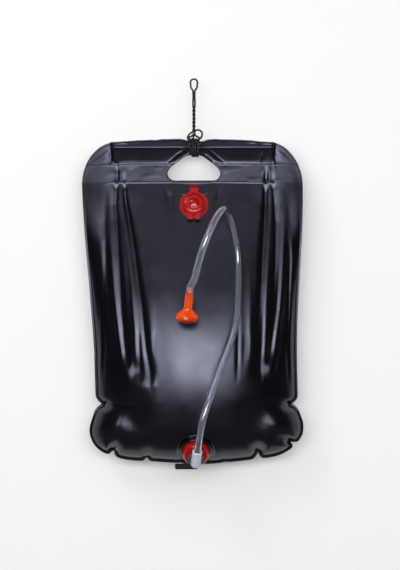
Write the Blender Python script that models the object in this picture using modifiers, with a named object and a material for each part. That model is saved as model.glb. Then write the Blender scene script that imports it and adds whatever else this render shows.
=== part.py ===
"""Camp shower bag, full, in metres, +Z up, front towards -Y, with its origin where the cord is hung."""

import math

import bmesh
import bpy
from mathutils import Matrix, Vector

# Clearances
FIT_GAP = 0.0003
CORD_GAP = 0.0004
CUT_OVERRUN = 0.004
MERGE = 0.00001

# Bag
CORD_DROP = 0.107
BAG_HALF_WIDTH = 0.200
BAG_HEIGHT = 0.591
FILM = 0.0008
RIM = 0.006
BELLY_DEPTH = 0.068
HEADER_DROP = 0.080
BELLY_DROP_SHARE = 0.8511
TOP_DIP = 0.0035
TOP_DIP_HALF_WIDTH = 0.018
OUTLINE_SHARES = (
    (0.0, 0.70), (0.008, 0.728), (0.0145, 0.77), (0.0276, 0.842), (0.046, 0.896),
    (0.0645, 0.933), (0.083, 0.960), (0.101, 0.983), (0.138, 1.0), (0.212, 0.992),
    (0.359, 0.969), (0.506, 0.937), (0.654, 0.915), (0.746, 0.915), (0.783, 0.910),
    (0.801, 0.878), (0.812, 0.851), (0.823, 0.887), (0.838, 0.924), (0.856, 0.946),
    (0.893, 0.969), (0.911, 0.955), (0.930, 0.924), (0.942, 0.892), (0.951, 0.877),
    (0.960, 0.836), (0.969, 0.786), (0.978, 0.727), (0.988, 0.614), (0.997, 0.48),
    (1.0, 0.42),
)
HEADER_ROW_SHARES = (0.30, 0.43, 0.57, 0.72, 0.87, 1.0)
BODY_ROW_SHARES = (
    0.0319, 0.0690, 0.1076, 0.1461, 0.1831, 0.2388, 0.3159,
    0.4086, 0.5090, 0.6171, 0.7329, 0.8565, 0.9413,
)
WAIST_ROW_SHARES = (0.783, 0.801, 0.812, 0.823, 0.838)
FLOOR_ANGLES = (0, 14, 28, 41, 53, 63, 71, 78, 84, 88, 90)
FRONT_COLUMN_SHARES = (0, 0.07, 0.14, 0.24, 0.35, 0.47, 0.575, 0.65, 0.73, 0.81, 0.93, 1)
BACK_COLUMN_SHARES = (0, 0.12, 0.28, 0.46, 0.575, 0.65, 0.73, 0.81, 0.93, 1)
SEAM_FULLNESS_SHARE = 1.45
SEAM_PULL_REACH = 0.194
SEAM_BLEND = 8

# Long folds down from the rod's two ends: how far they stand out across the bag, and down it
FOLD_SHARES = (
    (0.0, 0.0), (0.47, 0.0), (0.575, -1.0), (0.65, 0.9), (0.73, -0.9), (0.81, 1.0), (0.93, 0.0), (1.0, 0.0),
)
FOLD_DEPTH = 0.0028
FOLD_RUN_SHARES = ((0.0, 0.0), (0.137, 0.0), (0.20, 1.0), (0.60, 1.0), (0.77, 0.0), (1.0, 0.0))

# Rod in the top hem, and the tunnel round it
ROD_RADIUS = 0.0045
ROD_LENGTH = 0.266
ROD_DROP = 0.0162
TUNNEL_HALF_HEIGHT = 0.0114
TUNNEL_HALF_DEPTH = 0.0055
TUNNEL_STEPS = 6

# Handle hole through the header
HOLE_HALF_WIDTH = 0.048
HOLE_FLOOR_DROP = 0.076
HOLE_TOP_DROP = 0.0295
HOLE_CORNER = 0.013
HOLE_SHOULDER_SHARES = ((0.99, 0.34), (0.88, 0.52), (0.72, 0.66), (0.50, 0.83), (0.30, 1.0))

# Cord
CORD_RADIUS = 0.0015
LEG_OFFSET = 0.0019
BIGHT_RADIUS = 0.0065
BIGHT_LENGTH = 0.034
TWIST_TOP_DROP = 0.052
TWIST_LENGTH = 0.034
TWIST_STEPS = 12
HITCH_TURNS = 4
HITCH_PITCH = 0.0040
HITCH_HALF_DEPTH = 0.0093
HITCH_GAP = 0.0007
HITCH_RISE = 0.0106
HITCH_POWER = 3
KNOT_TURNS = 3
KNOT_PITCH = 0.0038
KNOT_TAIL = 0.009
LOOP_STEPS = 24

# Filler valve, its sizes measured out from the film
FILLER_DROP = 0.121
FILLER_TILT = 14
COLLAR_RADIUS = 0.0265
COLLAR_THICKNESS = 0.0018
NECK_RADIUS = 0.017
NECK_BORE_RADIUS = 0.014
NECK_HEIGHT = 0.008
NECK_DEPTH = 0.007
SEAL_THICKNESS = 0.0012
SEAL_INSET = 0.0004
CAP_RADIUS = 0.021
CAP_THICKNESS = 0.0024
CAP_SKIRT = 0.0045
CAP_WALL = 0.0016
CAP_DOME_RADIUS = 0.0092
CAP_DOME_HEIGHT = 0.003
CAP_RING_RADIUS = 0.0138
CAP_RING_HALF_WIDTH = 0.0010
CAP_RING_HEIGHT = 0.0009
PLUG_WALL = 0.0022
PLUG_DEPTH = 0.006
TAB_WIDTH = 0.0106
TAB_GAP = 0.0024
TAB_REACH = 0.0305
TAB_CORNER = 0.0035
STRAP_WIDTH = 0.0155
STRAP_THICKNESS = 0.0016
STRAP_REACH = 0.035

# Outlet at the bottom, its sizes measured out from the film
OUTLET_RISE = 0.0281
OUTLET_SIDE = 0.0037
OUTLET_TILT = -35
OUTLET_LEAN = 6.3
BOSS_RADIUS = 0.0245
BOSS_LIP = 0.0025
BOSS_HEIGHT = 0.0172
BOSS_FACE_RADIUS = 0.0160
BOSS_NECK_RADIUS = 0.010
BOSS_NECK_DEPTH = 0.006
STUB_RADIUS = 0.0073
STUB_BORE_RADIUS = 0.0035
STUB_DEPTH = 0.0115
GASKET_THICKNESS = 0.0006
GASKET_RADIUS = 0.0135
DISC_RADIUS = 0.0149
DISC_THICKNESS = 0.0024
BACKNUT_RADIUS = 0.013
BACKNUT_THICKNESS = 0.0035
BARREL_RADIUS = 0.0088
BARREL_LENGTH = 0.033
BARREL_ABOVE = 0.0258
BARREL_SINK = 0.0008
BARREL_CHAMFER = 0.0010

# Turning valve in the outlet
CORE_RADIUS = 0.0055
CORE_LENGTH = 0.0148
CORE_PORT_RADIUS = 0.0026
CORE_SOCKET_RADIUS = 0.0027
CORE_SOCKET_DEPTH = 0.0045
ORING_RADIUS = 0.0008
ORING_DROP = 0.0022
ORING_GROOVE_DEPTH = 0.0019
ORING_GROOVE_WIDTH = 0.0022
LEVER_RADIUS = 0.0055
LEVER_THICKNESS = 0.004
LEVER_LENGTH = 0.0365
LEVER_TIP_HEIGHT = 0.0025
LEVER_YAW = 8

# Hose and the two tails it is pushed on
HOSE_RADIUS = 0.0065
HOSE_BORE_RADIUS = 0.0045
BARB_RADIUS = 0.0039
BARB_ROOT_RADIUS = 0.0033
BARB_LENGTH = 0.016
STEM_BARB_LENGTH = 0.011
STRAIGHT_SHARES = (0, 0.5, 1)
BARB_RIDGES = 3
BARB_BORE_RADIUS = 0.0022
BARB_PLUG_RADIUS = 0.0046
BARB_PLUG_LENGTH = 0.009
HOSE_POINTS = 50
HOSE_ROUTE = (
    (0.0092, -0.1050), (0.0125, -0.1106), (0.0173, -0.1112), (0.0242, -0.1083), (0.0318, -0.1030),
    (0.0388, -0.0962), (0.0457, -0.0888), (0.0534, -0.0813), (0.0612, -0.0744), (0.0684, -0.0681),
    (0.0737, -0.0626), (0.0768, -0.0576), (0.0785, -0.0532), (0.0794, -0.0490), (0.0798, -0.0451),
    (0.0796, -0.0420), (0.0781, -0.0407), (0.0745, -0.0425), (0.0695, -0.0487), (0.0647, -0.0606),
    (0.0604, -0.0785), (0.0536, -0.0993), (0.0442, -0.1168), (0.0345, -0.1284), (0.0259, -0.1341),
    (0.0176, -0.1350), (0.0108, -0.1326), (0.0052, -0.1282), (-0.0009, -0.1230),
)
HOSE_DROP_SHARES = (
    0.9331, 0.8568, 0.7791, 0.7039, 0.6312, 0.5592, 0.4883, 0.4181, 0.3480, 0.2756,
    0.2008, 0.1234, 0.0453, -0.0331, -0.1116, -0.1907, -0.2702, -0.3487, -0.4228, -0.4876,
    -0.5315, -0.5358, -0.5023, -0.4444, -0.3739, -0.2997, -0.2242, -0.1486, -0.0741,
)

# Spray nozzle, its sizes measured down from its top
NOZZLE_TOP = (-0.0074, -0.1180, -0.3879)
NOZZLE_LEAN = 6
NOZZLE_PITCH = 12
STEM_RADIUS = 0.0074
STEM_LENGTH = 0.0255
SPIGOT_RADIUS = 0.0052
SPIGOT_LENGTH = 0.014
HEAD_RADIUS = 0.02075
HEAD_LENGTH = 0.0235
HEAD_BORE_RADIUS = 0.0056
HEAD_WALL = 0.002
HEAD_SHARES = (
    (0.375, 0.0), (0.40, 0.07), (0.48, 0.17), (0.66, 0.30), (0.86, 0.44), (0.965, 0.56),
    (1.0, 0.70), (0.985, 0.84), (0.93, 0.95), (0.88, 1.0),
)
PLATE_RADIUS = 0.0155
PLATE_THICKNESS = 0.0022
PLATE_DOME = 0.0048
PLATE_SEAT = 0.0014
SPRAY_HOLE_RADIUS = 0.0008
SPRAY_RINGS = ((0.0048, 6), (0.0098, 10))

# Facets
ROUND_STEPS = 28
SMALL_STEPS = 16
CORD_RESOLUTION = 2
WINDING_RESOLUTION = 1
HOSE_RESOLUTION = 3
SMOOTH_ANGLE = 38


def clear_scene():
    for old in list(bpy.data.objects):
        bpy.data.objects.remove(old, do_unlink=True)


def collection(name):
    made = bpy.data.collections.new(name)
    bpy.context.scene.collection.children.link(made)
    return made


def material(name, colour, roughness, transmission=0.0):
    made = bpy.data.materials.new(name)
    made.use_nodes = True
    shader = made.node_tree.nodes["Principled BSDF"]
    shader.inputs["Base Color"].default_value = (*colour, 1)
    shader.inputs["Roughness"].default_value = roughness
    shader.inputs["Transmission Weight"].default_value = transmission
    made.diffuse_color = (*colour, 1)
    return made


clear_scene()
PARTS = collection("camp_shower_bag")
CUTTERS = collection("cutters")

FILM_BLACK = material("black film", (0.016, 0.016, 0.023), 0.35)
ROD_GREY = material("grey rod", (0.25, 0.25, 0.25), 0.5)
CORD_BLACK = material("black cord", (0.02, 0.02, 0.022), 0.8)
CAP_RED = material("red plastic", (0.55, 0.004, 0.006), 0.25)
SEAL_BLACK = material("black rubber", (0.012, 0.012, 0.012), 0.7)
NATURAL = material("natural plastic", (0.62, 0.62, 0.72), 0.4)
FITTING_BLACK = material("black plastic", (0.015, 0.015, 0.018), 0.4)
HOSE_CLEAR = material("clear hose", (0.85, 0.88, 0.95), 0.1, 0.8)
NOZZLE_ORANGE = material("orange plastic", (0.80, 0.10, 0.01), 0.25)
PLATE_RED = material("dark red plastic", (0.45, 0.01, 0.005), 0.3)


def add_object(name, data, finish, parent=None):
    made = bpy.data.objects.new(name, data)
    PARTS.objects.link(made)
    data.materials.append(finish)
    made.parent = parent
    return made


def as_cutter(made):
    for home in list(made.users_collection):
        home.objects.unlink(made)
    CUTTERS.objects.link(made)
    made.hide_render = True
    made.display_type = "WIRE"
    return made


def boolean(target, other, operation="DIFFERENCE"):
    """Cuts other from target, or joins it on, and leaves other as a helper."""
    modifier = target.modifiers.new(other.name, "BOOLEAN")
    modifier.operation = operation
    modifier.solver = "EXACT"
    modifier.object = as_cutter(other)


def shade(made, angle=SMOOTH_ANGLE):
    made.data.shade_smooth()
    made.data.set_sharp_from_angle(angle=math.radians(angle))


def turned(name, profile, finish, parent=None, steps=ROUND_STEPS, closed=False):
    """A profile of (radius, height) points, down the outer side, turned about local Z."""
    mesh = bpy.data.meshes.new(name)
    points = [(radius, 0, height) for radius, height in profile]
    edges = [(i, i + 1) for i in range(len(points) - 1)]
    if closed:
        edges.append((len(points) - 1, 0))
    mesh.from_pydata(points, edges, [])
    made = add_object(name, mesh, finish, parent)
    screw = made.modifiers.new("turn", "SCREW")
    screw.axis = "Z"
    screw.steps = steps
    screw.render_steps = steps
    screw.use_merge_vertices = True
    screw.merge_threshold = MERGE
    screw.use_smooth_shade = False
    return made


def cylinder(name, radius, low, high, finish, parent=None, steps=ROUND_STEPS):
    return turned(name, [(0, high), (radius, high), (radius, low), (0, low)], finish, parent, steps)


def ring(name, outer, inner, low, high, finish, parent=None, steps=ROUND_STEPS):
    profile = [(outer, high), (outer, low), (inner, low), (inner, high)]
    return turned(name, profile, finish, parent, steps, closed=True)


def slab(name, outline, thickness, finish, parent=None):
    """A flat outline of (x, y) points, thickened both ways along local Z, as a mesh."""
    curve = bpy.data.curves.new(name, "CURVE")
    curve.dimensions = "2D"
    curve.fill_mode = "BOTH"
    curve.extrude = thickness / 2
    spline = curve.splines.new("POLY")
    spline.points.add(len(outline) - 1)
    for point, (x, y) in zip(spline.points, outline):
        point.co = (x, y, 0, 1)
    spline.use_cyclic_u = True
    return solidified_curve(name, curve, finish, parent)


def solidified_curve(name, curve, finish, parent=None):
    """The curve's evaluated shape as a closed mesh object."""
    shape = bpy.data.objects.new(name + "_curve", curve)
    bpy.context.scene.collection.objects.link(shape)
    graph = bpy.context.evaluated_depsgraph_get()
    mesh = bpy.data.meshes.new_from_object(shape.evaluated_get(graph))
    bpy.data.objects.remove(shape)
    bm = bmesh.new()
    bm.from_mesh(mesh)
    bmesh.ops.remove_doubles(bm, verts=bm.verts, dist=MERGE)
    bmesh.ops.recalc_face_normals(bm, faces=bm.faces)
    bm.to_mesh(mesh)
    bm.free()
    mesh.name = name
    return add_object(name, mesh, finish, parent)


def tube_curve(name, points, radius, resolution):
    curve = bpy.data.curves.new(name, "CURVE")
    curve.dimensions = "3D"
    curve.bevel_depth = radius
    curve.bevel_resolution = resolution
    curve.use_fill_caps = True
    spline = curve.splines.new("POLY")
    spline.points.add(len(points) - 1)
    for point, place in zip(spline.points, points):
        point.co = (*place, 1)
    return curve


def tube(name, points, radius, resolution, finish):
    return add_object(name, tube_curve(name, points, radius, resolution), finish)


def smooth_route(route, steps):
    """Places along the smooth curve through the route's points, evenly spaced along its length."""
    spans = [(b - a).length for a, b in zip(route, route[1:])]
    runs = [(b - a) / span for a, b, span in zip(route, route[1:], spans)]
    slopes = [runs[0]]
    for i in range(1, len(runs)):
        slopes.append((runs[i - 1] * spans[i] + runs[i] * spans[i - 1]) / (spans[i - 1] + spans[i]))
    slopes.append(runs[-1])
    fine = []
    for i, span in enumerate(spans):
        for k in range(LOOP_STEPS):
            s = k / LOOP_STEPS
            ends = route[i] * (1 + 2 * s) * (1 - s) ** 2 + route[i + 1] * (3 - 2 * s) * s**2
            fine.append(ends + (slopes[i] * s * (1 - s) ** 2 - slopes[i + 1] * (1 - s) * s**2) * span)
    return evenly(fine + [route[-1]], steps)


def evenly(places, steps):
    """The same line with its points evenly spaced."""
    reach = [0.0]
    for a, b in zip(places, places[1:]):
        reach.append(reach[-1] + (b - a).length)
    even = []
    at = 0
    for k in range(steps + 1):
        goal = reach[-1] * k / steps
        while at < len(reach) - 2 and reach[at + 1] < goal:
            at += 1
        share = (goal - reach[at]) / (reach[at + 1] - reach[at])
        even.append(places[at].lerp(places[at + 1], share))
    return even


def least_gap(points, radius):
    """The smallest gap between stretches of one tube that aren't neighbours along it."""
    fine = []
    for a, b in zip(points, points[1:]):
        fine += [a.lerp(b, k / 4) for k in range(4)]
    reach = [0.0]
    for a, b in zip(fine, fine[1:]):
        reach.append(reach[-1] + (b - a).length)
    least = math.inf
    for i, a in enumerate(fine):
        for j in range(i + 1, len(fine)):
            if reach[j] - reach[i] > 4 * math.pi / 2 * radius:
                least = min(least, (a - fine[j]).length)
    return least - 2 * radius


def table(pairs, at):
    """The value at a place in a table of (place, value) pairs."""
    for i in range(len(pairs) - 1):
        if at <= pairs[i + 1][0]:
            break
    low, high = pairs[i], pairs[i + 1]
    share = (at - low[0]) / (high[0] - low[0])
    return low[1] + (high[1] - low[1]) * share


# Shape of the bag

FLOOR_DROP = BAG_HEIGHT - RIM
BELLY_DROP = BAG_HEIGHT * BELLY_DROP_SHARE
OUTLET_DROP = BAG_HEIGHT - OUTLET_RISE


def half_width(drop):
    return BAG_HALF_WIDTH * table(OUTLINE_SHARES, drop / BAG_HEIGHT)


def belly(drop):
    """How far the film stands out from the seam plane, on the bag's middle line."""
    if drop <= HEADER_DROP or drop >= FLOOR_DROP:
        return 0.0
    if drop <= BELLY_DROP:
        fill = (drop - HEADER_DROP) / (BELLY_DROP - HEADER_DROP)
        return BELLY_DEPTH * math.sin(fill * math.pi / 2) ** 1.05
    down = (drop - BELLY_DROP) / (FLOOR_DROP - BELLY_DROP)
    return BELLY_DEPTH * (1 - down**2.6) ** (1 / 2.6)


def tunnel(drop):
    offset = (drop - TUNNEL_HALF_HEIGHT) / TUNNEL_HALF_HEIGHT
    return TUNNEL_HALF_DEPTH * math.sqrt(max(0.0, 1 - offset * offset))


def seam_gap_half():
    return FIT_GAP / 2


def film_plane(side, drop, tilt):
    """Centre, on the film's outer face, and frame of a fitting whose axis is tilted up by tilt."""
    normal = Vector((0, -math.cos(math.radians(tilt)), math.sin(math.radians(tilt))))
    centre = Vector((side, -belly(drop) - seam_gap_half(), -CORD_DROP - drop))
    turn = Matrix.Rotation(math.radians(90 - tilt), 4, "X")
    return Matrix.Translation(centre + normal * FILM) @ turn


def flattened(drop, x, depth, fitting_drop, tilt, flat_radius):
    """The film's depth, drawn out flat round a stiff fitting and eased back beyond it."""
    rise = (fitting_drop - drop) / math.cos(math.radians(tilt))
    away = (math.hypot(x, rise) - flat_radius) / flat_radius
    ease = min(1.0, max(0.0, away))
    keep = 1 - ease * ease * (3 - 2 * ease)
    flat = belly(fitting_drop) - math.tan(math.radians(tilt)) * (fitting_drop - drop)
    if drop > FLOOR_DROP - FILM * 1.2:
        keep = 0.0
    return max(0.0, depth * (1 - keep) + flat * keep)


def seam_distance(drop, x):
    """How far a place in the seam plane is from the bag's outline."""
    place = Vector((abs(x), drop))
    edge = [Vector((BAG_HALF_WIDTH * share, BAG_HEIGHT * down)) for down, share in OUTLINE_SHARES]
    edge.append(Vector((0, BAG_HEIGHT)))
    nearest = BAG_HEIGHT
    for low, high in zip(edge, edge[1:]):
        along = (place - low).dot(high - low) / (high - low).length_squared
        nearest = min(nearest, (place - low.lerp(high, min(1.0, max(0.0, along)))).length)
    return nearest


def swell(drop, x, across):
    """The full film's depth: the belly's, held in along the seam that it is welded to."""
    full = belly(drop) * max(0.0, 1 - across**2.2) ** 0.7
    inside = min(1.0, max(0.0, (seam_distance(drop, x) - RIM) / SEAM_PULL_REACH))
    held = SEAM_FULLNESS_SHARE * BELLY_DEPTH * (1 - (1 - inside) ** 2.2) ** 0.7
    if min(full, held) < FILM:
        return min(full, held)
    return (full**-SEAM_BLEND + held**-SEAM_BLEND) ** (-1 / SEAM_BLEND)


def panel_depth(drop, x, across, front):
    """across is the share of the way from the middle line to the weld."""
    if drop < 2 * TUNNEL_HALF_HEIGHT:
        return tunnel(drop) if across < 1 else 0.0
    fold = FOLD_DEPTH * table(FOLD_SHARES, across) * table(FOLD_RUN_SHARES, drop / BAG_HEIGHT)
    depth = max(0.0, swell(drop, x, across) + fold)
    if front and across < 1:
        depth = flattened(drop, x, depth, FILLER_DROP, FILLER_TILT, 1.3 * COLLAR_RADIUS)
        depth = flattened(drop, x - OUTLET_SIDE, depth, OUTLET_DROP, OUTLET_TILT, 1.3 * BOSS_RADIUS)
    return depth


def row_drops():
    rows = [
        TUNNEL_HALF_HEIGHT * (1 - math.cos(math.pi * k / TUNNEL_STEPS))
        for k in range(TUNNEL_STEPS + 1)
    ]
    rows += [HEADER_DROP * share for share in HEADER_ROW_SHARES]
    waist = [BAG_HEIGHT * share for share in WAIST_ROW_SHARES]
    rows += [HEADER_DROP + (waist[0] - HEADER_DROP) * share for share in BODY_ROW_SHARES]
    rows += waist
    reach = FLOOR_DROP - BELLY_DROP
    rows += [BELLY_DROP + reach * math.sin(math.radians(angle)) for angle in FLOOR_ANGLES]
    rows.append(BAG_HEIGHT)
    return rows


def panel(name, column_shares, side):
    """One film of the bag. side is -1 for the front and 1 for the back."""
    rows = row_drops()
    shares = [-share for share in reversed(column_shares[1:])] + list(column_shares)
    columns = len(shares) + 2
    mesh = bpy.data.meshes.new(name)
    bm = bmesh.new()
    bmesh.ops.create_grid(bm, x_segments=columns - 1, y_segments=len(rows) - 1, size=1)
    bm.verts.ensure_lookup_table()
    for vert in bm.verts:
        i = round((vert.co.x + 1) / 2 * (columns - 1))
        j = round((vert.co.y + 1) / 2 * (len(rows) - 1))
        vert.co = panel_point(rows[j], i, shares, side)
    bmesh.ops.recalc_face_normals(bm, faces=bm.faces)
    bm.faces.ensure_lookup_table()
    middle = bm.faces[len(bm.faces) // 2]
    if middle.normal.y * side < 0:
        bmesh.ops.reverse_faces(bm, faces=bm.faces)
    bm.to_mesh(mesh)
    bm.free()
    made = add_object(name, mesh, FILM_BLACK)
    shell = made.modifiers.new("film", "SOLIDIFY")
    shell.thickness = FILM
    shell.offset = 1
    return made


def panel_point(drop, column, shares, side):
    edge = half_width(drop)
    if column == 0 or column == len(shares) + 1:
        x = -edge if column == 0 else edge
        depth = 0.0
    else:
        share = shares[column - 1]
        x = share * (edge - RIM)
        depth = panel_depth(drop, x, abs(share), side < 0)
    dip = TOP_DIP * math.exp(-((x / TOP_DIP_HALF_WIDTH) ** 4)) * max(0.0, 1 - drop / ROD_DROP)
    return (x, side * (seam_gap_half() + depth), -CORD_DROP - drop - dip)


def handle_hole():
    """The carrying hole's outline, drawn up towards the cord, from its floor round to its top."""
    right = []
    for k in range(7):
        turn = math.radians(90 * k / 6)
        x = HOLE_HALF_WIDTH - HOLE_CORNER + HOLE_CORNER * math.sin(turn)
        right.append((x, -HOLE_FLOOR_DROP + HOLE_CORNER * (1 - math.cos(turn))))
    reach = HOLE_FLOOR_DROP - HOLE_TOP_DROP
    right += [(HOLE_HALF_WIDTH * x, -HOLE_FLOOR_DROP + reach * up) for x, up in HOLE_SHOULDER_SHARES]
    left = [(-x, z) for x, z in reversed(right)]
    depth = 2 * (FILM + CUT_OVERRUN)
    hole = slab("handle_hole", right + left, depth, FILM_BLACK)
    hole.matrix_world = Matrix.Translation((0, 0, -CORD_DROP)) @ Matrix.Rotation(math.pi / 2, 4, "X")
    return hole


FILLER_FRAME = film_plane(0, FILLER_DROP, FILLER_TILT)
OUTLET_TURN = Matrix.Rotation(math.radians(-OUTLET_LEAN), 4, "Z")
OUTLET_FRAME = film_plane(OUTLET_SIDE, OUTLET_DROP, OUTLET_TILT) @ OUTLET_TURN


def frame_empty(name, matrix):
    made = bpy.data.objects.new(name, None)
    PARTS.objects.link(made)
    made.matrix_world = matrix
    return made


def build_bag():
    front = panel("front_panel", FRONT_COLUMN_SHARES, -1)
    back = panel("back_panel", BACK_COLUMN_SHARES, 1)
    hole = handle_hole()
    boolean(front, hole)
    boolean(back, hole)
    for name, frame, radius in (
        ("filler_opening", FILLER, NECK_RADIUS),
        ("outlet_opening", OUTLET, BOSS_NECK_RADIUS),
    ):
        boolean(front, cylinder(name, radius + FIT_GAP, -CUT_OVERRUN, CUT_OVERRUN, FILM_BLACK, frame))
    shade(front)
    shade(back)


def build_rod():
    half = ROD_LENGTH / 2
    rod = cylinder("header_rod", ROD_RADIUS, -half, half, ROD_GREY, steps=SMALL_STEPS)
    middle = Matrix.Translation((0, 0, -CORD_DROP - ROD_DROP))
    rod.matrix_world = middle @ Matrix.Rotation(math.pi / 2, 4, "Y")
    shade(rod)


# Cord, its hitch round the hem and its knot

HITCH_TOP = -CORD_DROP - TOP_DIP + FILM + HITCH_GAP + CORD_RADIUS
HITCH_BOTTOM = -CORD_DROP - HOLE_TOP_DROP - HITCH_GAP - CORD_RADIUS
HITCH_END = HITCH_TOP + HITCH_RISE


def hitch_path():
    """Turns round the hem and the rod, whose two ends climb over them to the legs."""
    half_height = (HITCH_TOP - HITCH_BOTTOM) / 2
    middle = (HITCH_TOP + HITCH_BOTTOM) / 2
    half_span = HITCH_TURNS * HITCH_PITCH / 2
    turns = []
    for k in range(HITCH_TURNS * LOOP_STEPS + 1):
        angle = 2 * math.pi * k / LOOP_STEPS
        up = math.copysign(abs(math.cos(angle)) ** (2 / HITCH_POWER), math.cos(angle))
        out = math.copysign(abs(math.sin(angle)) ** (2 / HITCH_POWER), math.sin(angle))
        x = -half_span + HITCH_PITCH * k / LOOP_STEPS
        turns.append(Vector((x, -HITCH_HALF_DEPTH * out, middle + half_height * up)))
    climb = (
        (LEG_OFFSET, HITCH_RISE), (LEG_OFFSET, 0.72 * HITCH_RISE),
        (LEG_OFFSET + 0.12 * half_span, 0.60 * HITCH_RISE), (0.5 * half_span, 0.47 * HITCH_RISE),
        (0.78 * half_span, 0.35 * HITCH_RISE), (0.97 * half_span, 0.19 * HITCH_RISE),
    )
    start = [Vector((-x, 0, HITCH_TOP + z)) for x, z in climb]
    end = [Vector((x, 0, HITCH_TOP + z)) for x, z in reversed(climb)]
    return start + turns + end


def cord_path():
    """Up one leg, round the bight that hangs on the hook, and down the other leg."""
    centre = CORD_RADIUS - BIGHT_RADIUS
    low = HITCH_END + FIT_GAP
    leg = [Vector((LEG_OFFSET, 0, low))]
    for k in range(TWIST_STEPS + 1):
        angle = 2 * math.pi * k / TWIST_STEPS
        height = -TWIST_TOP_DROP - TWIST_LENGTH * (1 - k / TWIST_STEPS)
        leg.append(Vector((LEG_OFFSET * math.cos(angle), LEG_OFFSET * math.sin(angle), height)))
    leg.append(Vector((LEG_OFFSET, 0, -BIGHT_LENGTH)))
    leg.append(Vector((LEG_OFFSET * 1.35, 0, -0.76 * BIGHT_LENGTH)))
    leg.append(Vector((BIGHT_RADIUS * 0.80, 0, centre - 1.45 * BIGHT_RADIUS)))
    for k in range(6):
        angle = math.radians(-20 + 110 * k / 6)
        leg.append(Vector((BIGHT_RADIUS * math.cos(angle), 0, centre + BIGHT_RADIUS * math.sin(angle))))
    other = [Vector((-p.x, -p.y, p.z)) for p in reversed(leg)]
    return leg + [Vector((0, 0, CORD_RADIUS))] + other


KNOT_RADIUS = LEG_OFFSET + 2 * CORD_RADIUS + CORD_GAP


def knot_path():
    """The tail, wound round both legs above the hitch, with its two ends standing out."""
    low = HITCH_END + FIT_GAP + 2 * CORD_RADIUS
    wound = []
    for k in range(KNOT_TURNS * LOOP_STEPS + 1):
        angle = 2 * math.pi * k / LOOP_STEPS - math.pi / 2
        x = KNOT_RADIUS * math.cos(angle)
        y = KNOT_RADIUS * math.sin(angle)
        wound.append(Vector((x, y, low + KNOT_PITCH * k / LOOP_STEPS)))
    first = wound[0] + Vector((-KNOT_TAIL, -0.25 * KNOT_TAIL, -0.1 * KNOT_TAIL))
    last = wound[-1] + Vector((KNOT_TAIL, -0.25 * KNOT_TAIL, 0.35 * KNOT_TAIL))
    return [first, first.lerp(wound[0], 0.5)] + wound + [wound[-1].lerp(last, 0.5), last]


def build_cord():
    paths = (("hang_cord", cord_path()), ("hem_hitch", hitch_path()), ("hang_knot", knot_path()))
    for name, path in paths:
        resolution = CORD_RESOLUTION if name == "hang_cord" else WINDING_RESOLUTION
        tube(name, path, CORD_RADIUS, resolution, CORD_BLACK)
        print(f"{name}: least gap to itself {1000 * least_gap(path, CORD_RADIUS):.2f} mm")


# Filler valve

NECK_TOP = FIT_GAP + NECK_HEIGHT
CAP_UNDERSIDE = NECK_TOP + FIT_GAP + SEAL_THICKNESS + FIT_GAP
CAP_TOP = CAP_UNDERSIDE + CAP_THICKNESS
STRAP_TOP = CAP_UNDERSIDE + STRAP_THICKNESS
HINGE_HEIGHT = STRAP_TOP + STRAP_THICKNESS / 4
STRAP_BEND_OUTER = (STRAP_TOP - FIT_GAP) / 2
HINGE_REACH = STRAP_REACH - STRAP_BEND_OUTER + STRAP_THICKNESS


def build_filler_collar():
    top = FIT_GAP + COLLAR_THICKNESS
    edge = COLLAR_THICKNESS / 3
    profile = [
        (NECK_RADIUS, NECK_TOP), (NECK_RADIUS, top), (COLLAR_RADIUS - edge, top),
        (COLLAR_RADIUS, top - edge), (COLLAR_RADIUS, FIT_GAP), (NECK_RADIUS, FIT_GAP),
        (NECK_RADIUS, -NECK_DEPTH), (NECK_BORE_RADIUS, -NECK_DEPTH), (NECK_BORE_RADIUS, NECK_TOP),
    ]
    collar = turned("filler_collar", profile, CAP_RED, FILLER, closed=True)
    boolean(collar, strap_loop(), "UNION")
    shade(collar)


def strap_loop():
    """The strap's fixed half, which leaves the collar and bends back over itself to the hinge line."""
    outer = STRAP_BEND_OUTER
    inner = outer - STRAP_THICKNESS
    middle = FIT_GAP + outer
    centre = STRAP_REACH - outer
    root = COLLAR_RADIUS - STRAP_THICKNESS
    lift = COLLAR_THICKNESS / 4
    turns = [math.radians(-90 + 180 * k / 8) for k in range(9)]
    outside = [(centre + outer * math.cos(a), middle + outer * math.sin(a)) for a in turns]
    inside = [(centre + inner * math.cos(a), middle + inner * math.sin(a)) for a in reversed(turns)]
    outside[0] = (root, FIT_GAP + lift)
    outside.insert(1, (centre, FIT_GAP + lift))
    inside.append((root, middle - inner))
    loop = slab("strap_loop", outside + inside, STRAP_WIDTH, CAP_RED, FILLER)
    loop.matrix_local = Matrix.Rotation(math.pi / 2, 4, "Z") @ Matrix.Rotation(math.pi / 2, 4, "X")
    return loop


def build_filler_seal():
    outer = NECK_RADIUS - SEAL_INSET
    inner = NECK_BORE_RADIUS + SEAL_INSET
    ring("filler_seal", outer, inner, NECK_TOP + FIT_GAP, CAP_UNDERSIDE - FIT_GAP, SEAL_BLACK, FILLER)


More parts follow.
